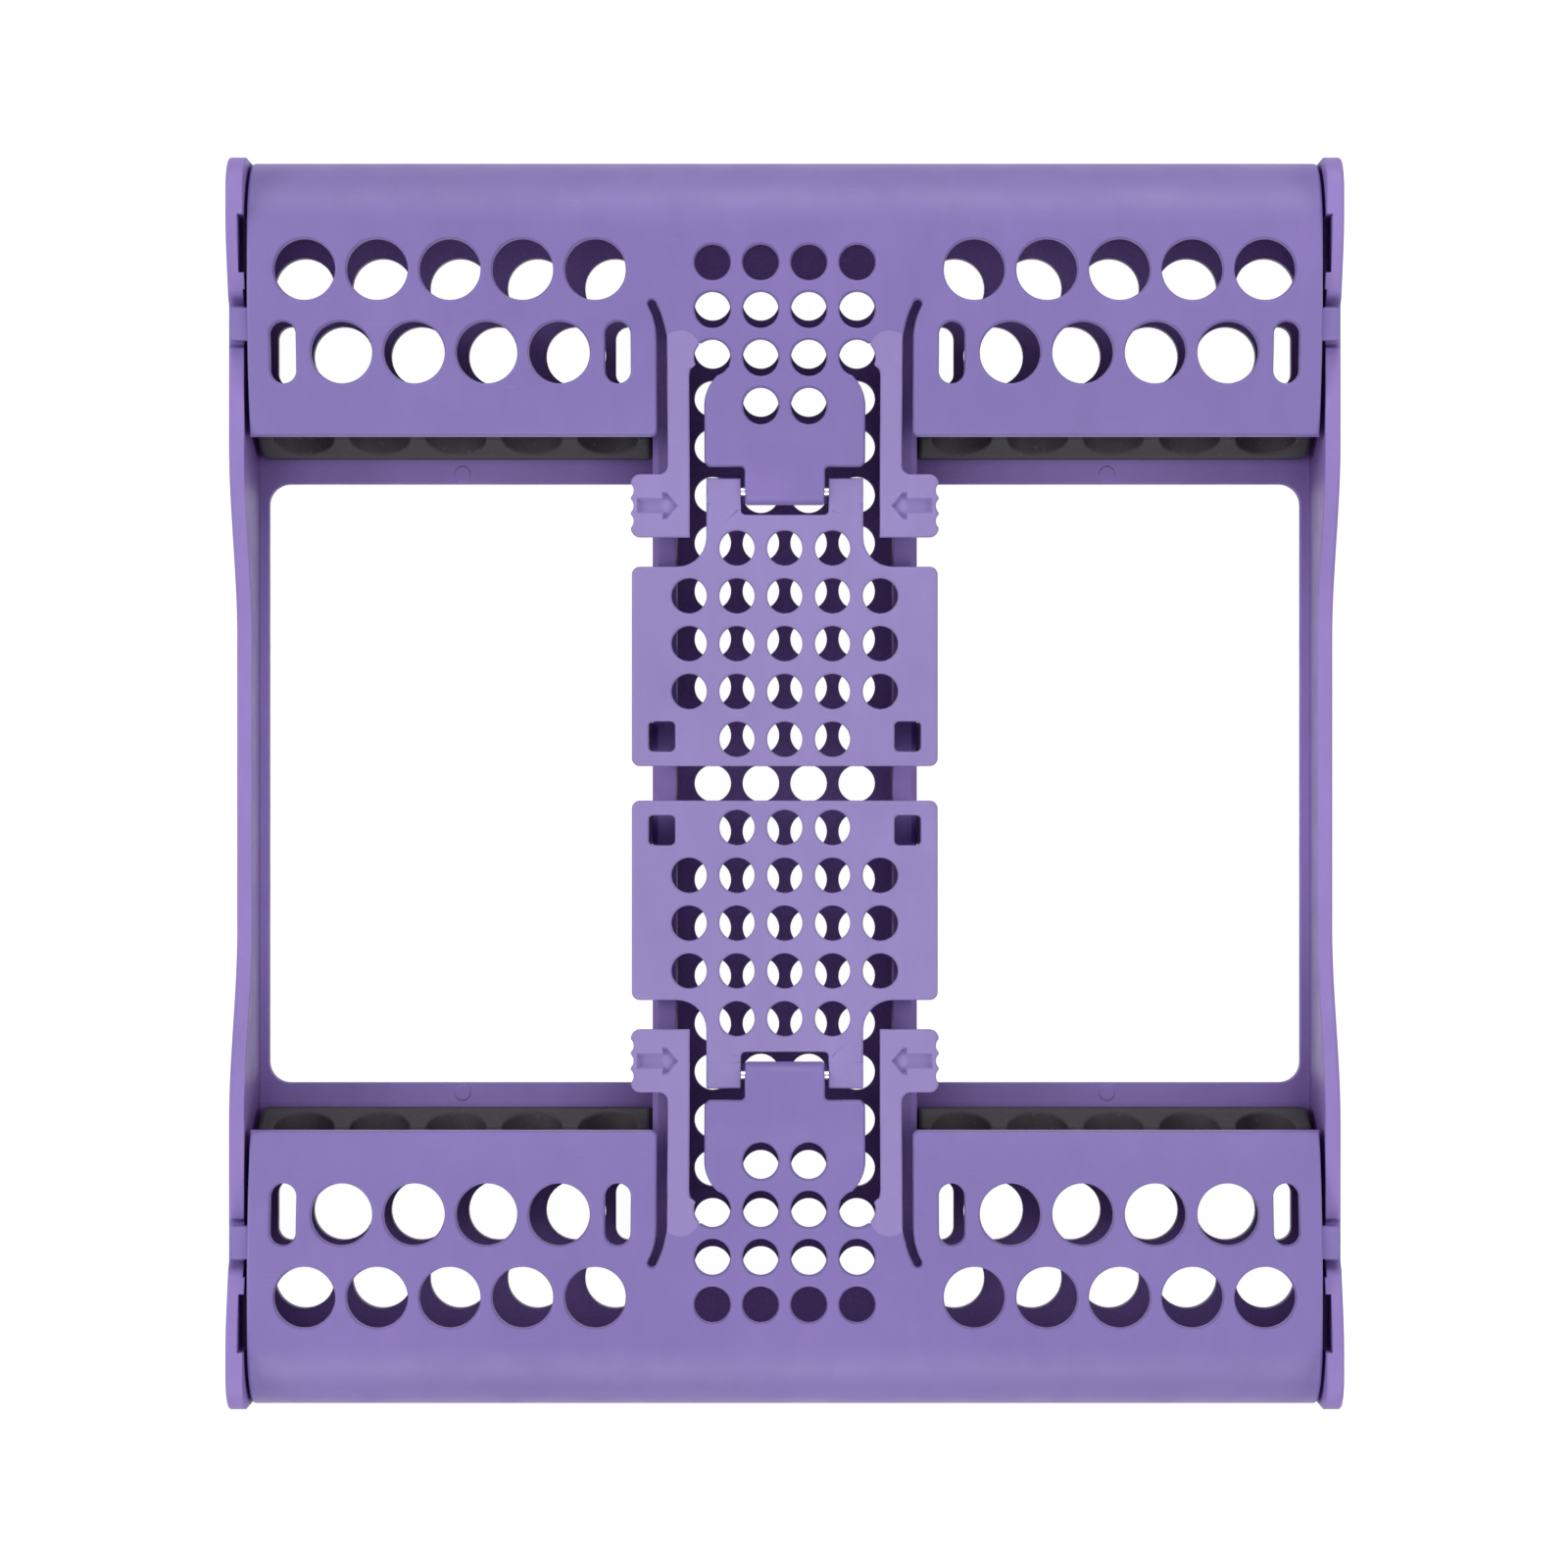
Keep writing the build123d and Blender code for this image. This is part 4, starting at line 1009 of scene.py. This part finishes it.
def buildRail(end, side, turned, mirrored):
    v = railValues
    bm = mouldedSheet(end + side + "RailBar", railOutline(), [], [], v, railSilicone)
    cutAcross(bm, [v["slopeFrom"], v["slopeTo"]])
    near = [v["x"][0] + v["plan"] * k / 5 for k in range(1, 6)]
    far = [v["x"][1] - v["plan"] * k / 5 for k in range(1, 6)]
    cutAcross(bm, near + far, (1, 0, 0))
    back = v["front"] + v["thickness"]
    for vert in bm.verts:
        x, z, depth = vert.co
        into = max(0.0, v["plan"] - min(x - v["x"][0], v["x"][1] - x))
        front = railFront(z) + v["plan"] - math.sqrt(max(0.0, v["plan"] ** 2 - into ** 2))
        vert.co = (x, front - depth / v["thickness"] * (back - front), z)
    peg = {"thickness": v["foot"] - v["pegLow"] + v["pegInto"], "rim": 0.25, "apron": 0.1}
    for x in v["pegs"]:
        circle = circlePoints(x, v["pegY"], v["pegRadius"], 32)
        part = mouldedSheet(end + side + "Peg", circle, [], [], peg, railSilicone)
        for vert in part.verts:
            vert.co.z += v["foot"] + v["pegInto"]
        addTo(bm, part)
    bmesh.ops.recalc_face_normals(bm, faces=bm.faces)
    name = end + "_" + side + "_instrument_rail"
    piece = pieceFrom(bm, end + side.capitalize() + "RailBody", railSilicone, turned, mirrored)
    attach(piece, "base")
    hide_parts(name)


for end, side, turned, mirrored in quarters:
    buildRail(end, side, turned, mirrored)
print("rails made")


# four round ejector marks on the tray's floor
markValues = {
    "x": 53.9, "y": 51.75, "radius": 1.35, "floor": 3.0, "rise": 0.06,
    "thickness": 0.3, "rim": 0.05, "apron": 0.02,
}


def buildMarks():
    v = markValues
    bm = bmesh.new()
    for x, y in ((v["x"], v["y"]), (-v["x"], v["y"]), (-v["x"], -v["y"]), (v["x"], -v["y"])):
        disc = mouldedSheet("mark", circlePoints(x, y, v["radius"], 40), [], [], v, baseResinWithPaintedShade)
        addTo(bm, disc)
    for vert in bm.verts:
        vert.co.z += v["floor"] + v["rise"]
    piece = pieceFrom(bm, "ejectorMarks", baseResinWithPaintedShade)
    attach(piece, "base")


buildMarks()
print("ejector marks made")


# the pieces that keep the CAD's shape take the looks made above
looks = (("rail", railSilicone), ("pin", pinSteel), ("base", baseResinWithPaintedShade), ("cover", coverResin), ("arm", armResin))
for name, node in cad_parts.items():
    node.data.materials.clear()
    node.data.materials.append(next((look for word, look in looks if word in name), lidResin))


cameraValues = {
    "x": -0.000126, "y": -0.000102, "height": 0.782,  # straight above, looking down
    "focal": 106.88, "sensor": 36.0, "farthest": 50.0,
}
camera = bpy.data.objects.new("camera", bpy.data.cameras.new("camera"))
bpy.context.scene.collection.objects.link(camera)
camera.location = (cameraValues["x"], cameraValues["y"], cameraValues["height"])
camera.data.sensor_width = cameraValues["sensor"]
camera.data.lens = cameraValues["focal"]
camera.data.clip_end = cameraValues["farthest"]
bpy.context.scene.camera = camera

lightValues = {
    "world": 0.10,
    "aim": (0.0, 0.0, 0.02),
    "lamps": [
        # compass bearing and tilt from upright in degrees, distance, size, strength
        (5.0, 57.0, 1.4, 0.9, 9.9),
        (95.0, 54.0, 1.4, 0.8, 5.9),
        (185.0, 57.0, 1.4, 0.9, 9.3),
        (275.0, 54.0, 1.4, 0.8, 8.0),
    ],
}


def areaLamp(name, place, size, power):
    lamp = bpy.data.objects.new(name, bpy.data.lights.new(name, "AREA"))
    lamp.data.shape = "DISK"
    lamp.data.size = size
    lamp.data.energy = power
    lamp.location = place
    facing = Vector(lightValues["aim"]) - Vector(place)
    lamp.rotation_euler = facing.to_track_quat("-Z", "Y").to_euler()
    bpy.context.scene.collection.objects.link(lamp)


for index, (bearing, tilt, distance, size, power) in enumerate(lightValues["lamps"]):
    turn, lean = math.radians(bearing), math.radians(tilt)
    reach = distance * math.sin(lean)
    place = (reach * math.sin(turn), reach * math.cos(turn), distance * math.cos(lean))
    areaLamp("lamp%d" % index, place, size, power)

# the world lights faintly, and is plain white to the camera and in reflections
world = bpy.data.worlds.new("studio")
bpy.context.scene.world = world
world.use_nodes = True
worldNodes, worldLinks = world.node_tree.nodes, world.node_tree.links
background = worldNodes["Background"]
background.inputs["Color"].default_value = (1.0, 1.0, 1.0, 1.0)
paths = worldNodes.new("ShaderNodeLightPath")
seen = paths.outputs["Is Camera Ray"]
for other in ("Is Glossy Ray", "Is Transmission Ray"):
    either = worldNodes.new("ShaderNodeMath")
    either.operation = "MAXIMUM"
    worldLinks.new(seen, either.inputs[0])
    worldLinks.new(paths.outputs[other], either.inputs[1])
    seen = either.outputs[0]
strength = worldNodes.new("ShaderNodeMapRange")
strength.inputs["To Min"].default_value = lightValues["world"]
strength.inputs["To Max"].default_value = 1.0
worldLinks.new(seen, strength.inputs["Value"])
worldLinks.new(strength.outputs["Result"], background.inputs["Strength"])

floorValues = {
    "half": 3.0, "drop": -0.0002, "glow": 0.985,
    "colour": (0.20, 0.19, 0.22), "roughness": 0.9, "specular": 0.1,
}


def paleFloor():
    # paper that looks white but throws little light back on the cassette
    mesh = bpy.data.meshes.new("floor")
    h, z = floorValues["half"], floorValues["drop"]
    mesh.from_pydata([(-h, -h, z), (h, -h, z), (h, h, z), (-h, h, z)], [], [(0, 1, 2, 3)])
    floor = bpy.data.objects.new("floor", mesh)
    bpy.context.scene.collection.objects.link(floor)
    material, nodes, links, shader = newMaterial("floorPaper")
    shader.inputs["Base Color"].default_value = (*floorValues["colour"], 1.0)
    shader.inputs["Roughness"].default_value = floorValues["roughness"]
    shader.inputs["Specular IOR Level"].default_value = floorValues["specular"]
    glow = nodes.new("ShaderNodeLightPath")
    either = nodes.new("ShaderNodeMath")
    either.operation = "MAXIMUM"
    links.new(glow.outputs["Is Camera Ray"], either.inputs[0])
    links.new(glow.outputs["Is Glossy Ray"], either.inputs[1])
    level = nodes.new("ShaderNodeMath")
    level.operation = "MULTIPLY"
    level.inputs[1].default_value = floorValues["glow"]
    links.new(either.outputs[0], level.inputs[0])
    shader.inputs["Emission Color"].default_value = (1.0, 1.0, 1.0, 1.0)
    links.new(level.outputs[0], shader.inputs["Emission Strength"])
    mesh.materials.append(material)
    return floor


paleFloor()
bpy.context.scene.view_settings.view_transform = "Standard"
print("camera, floor and light made")
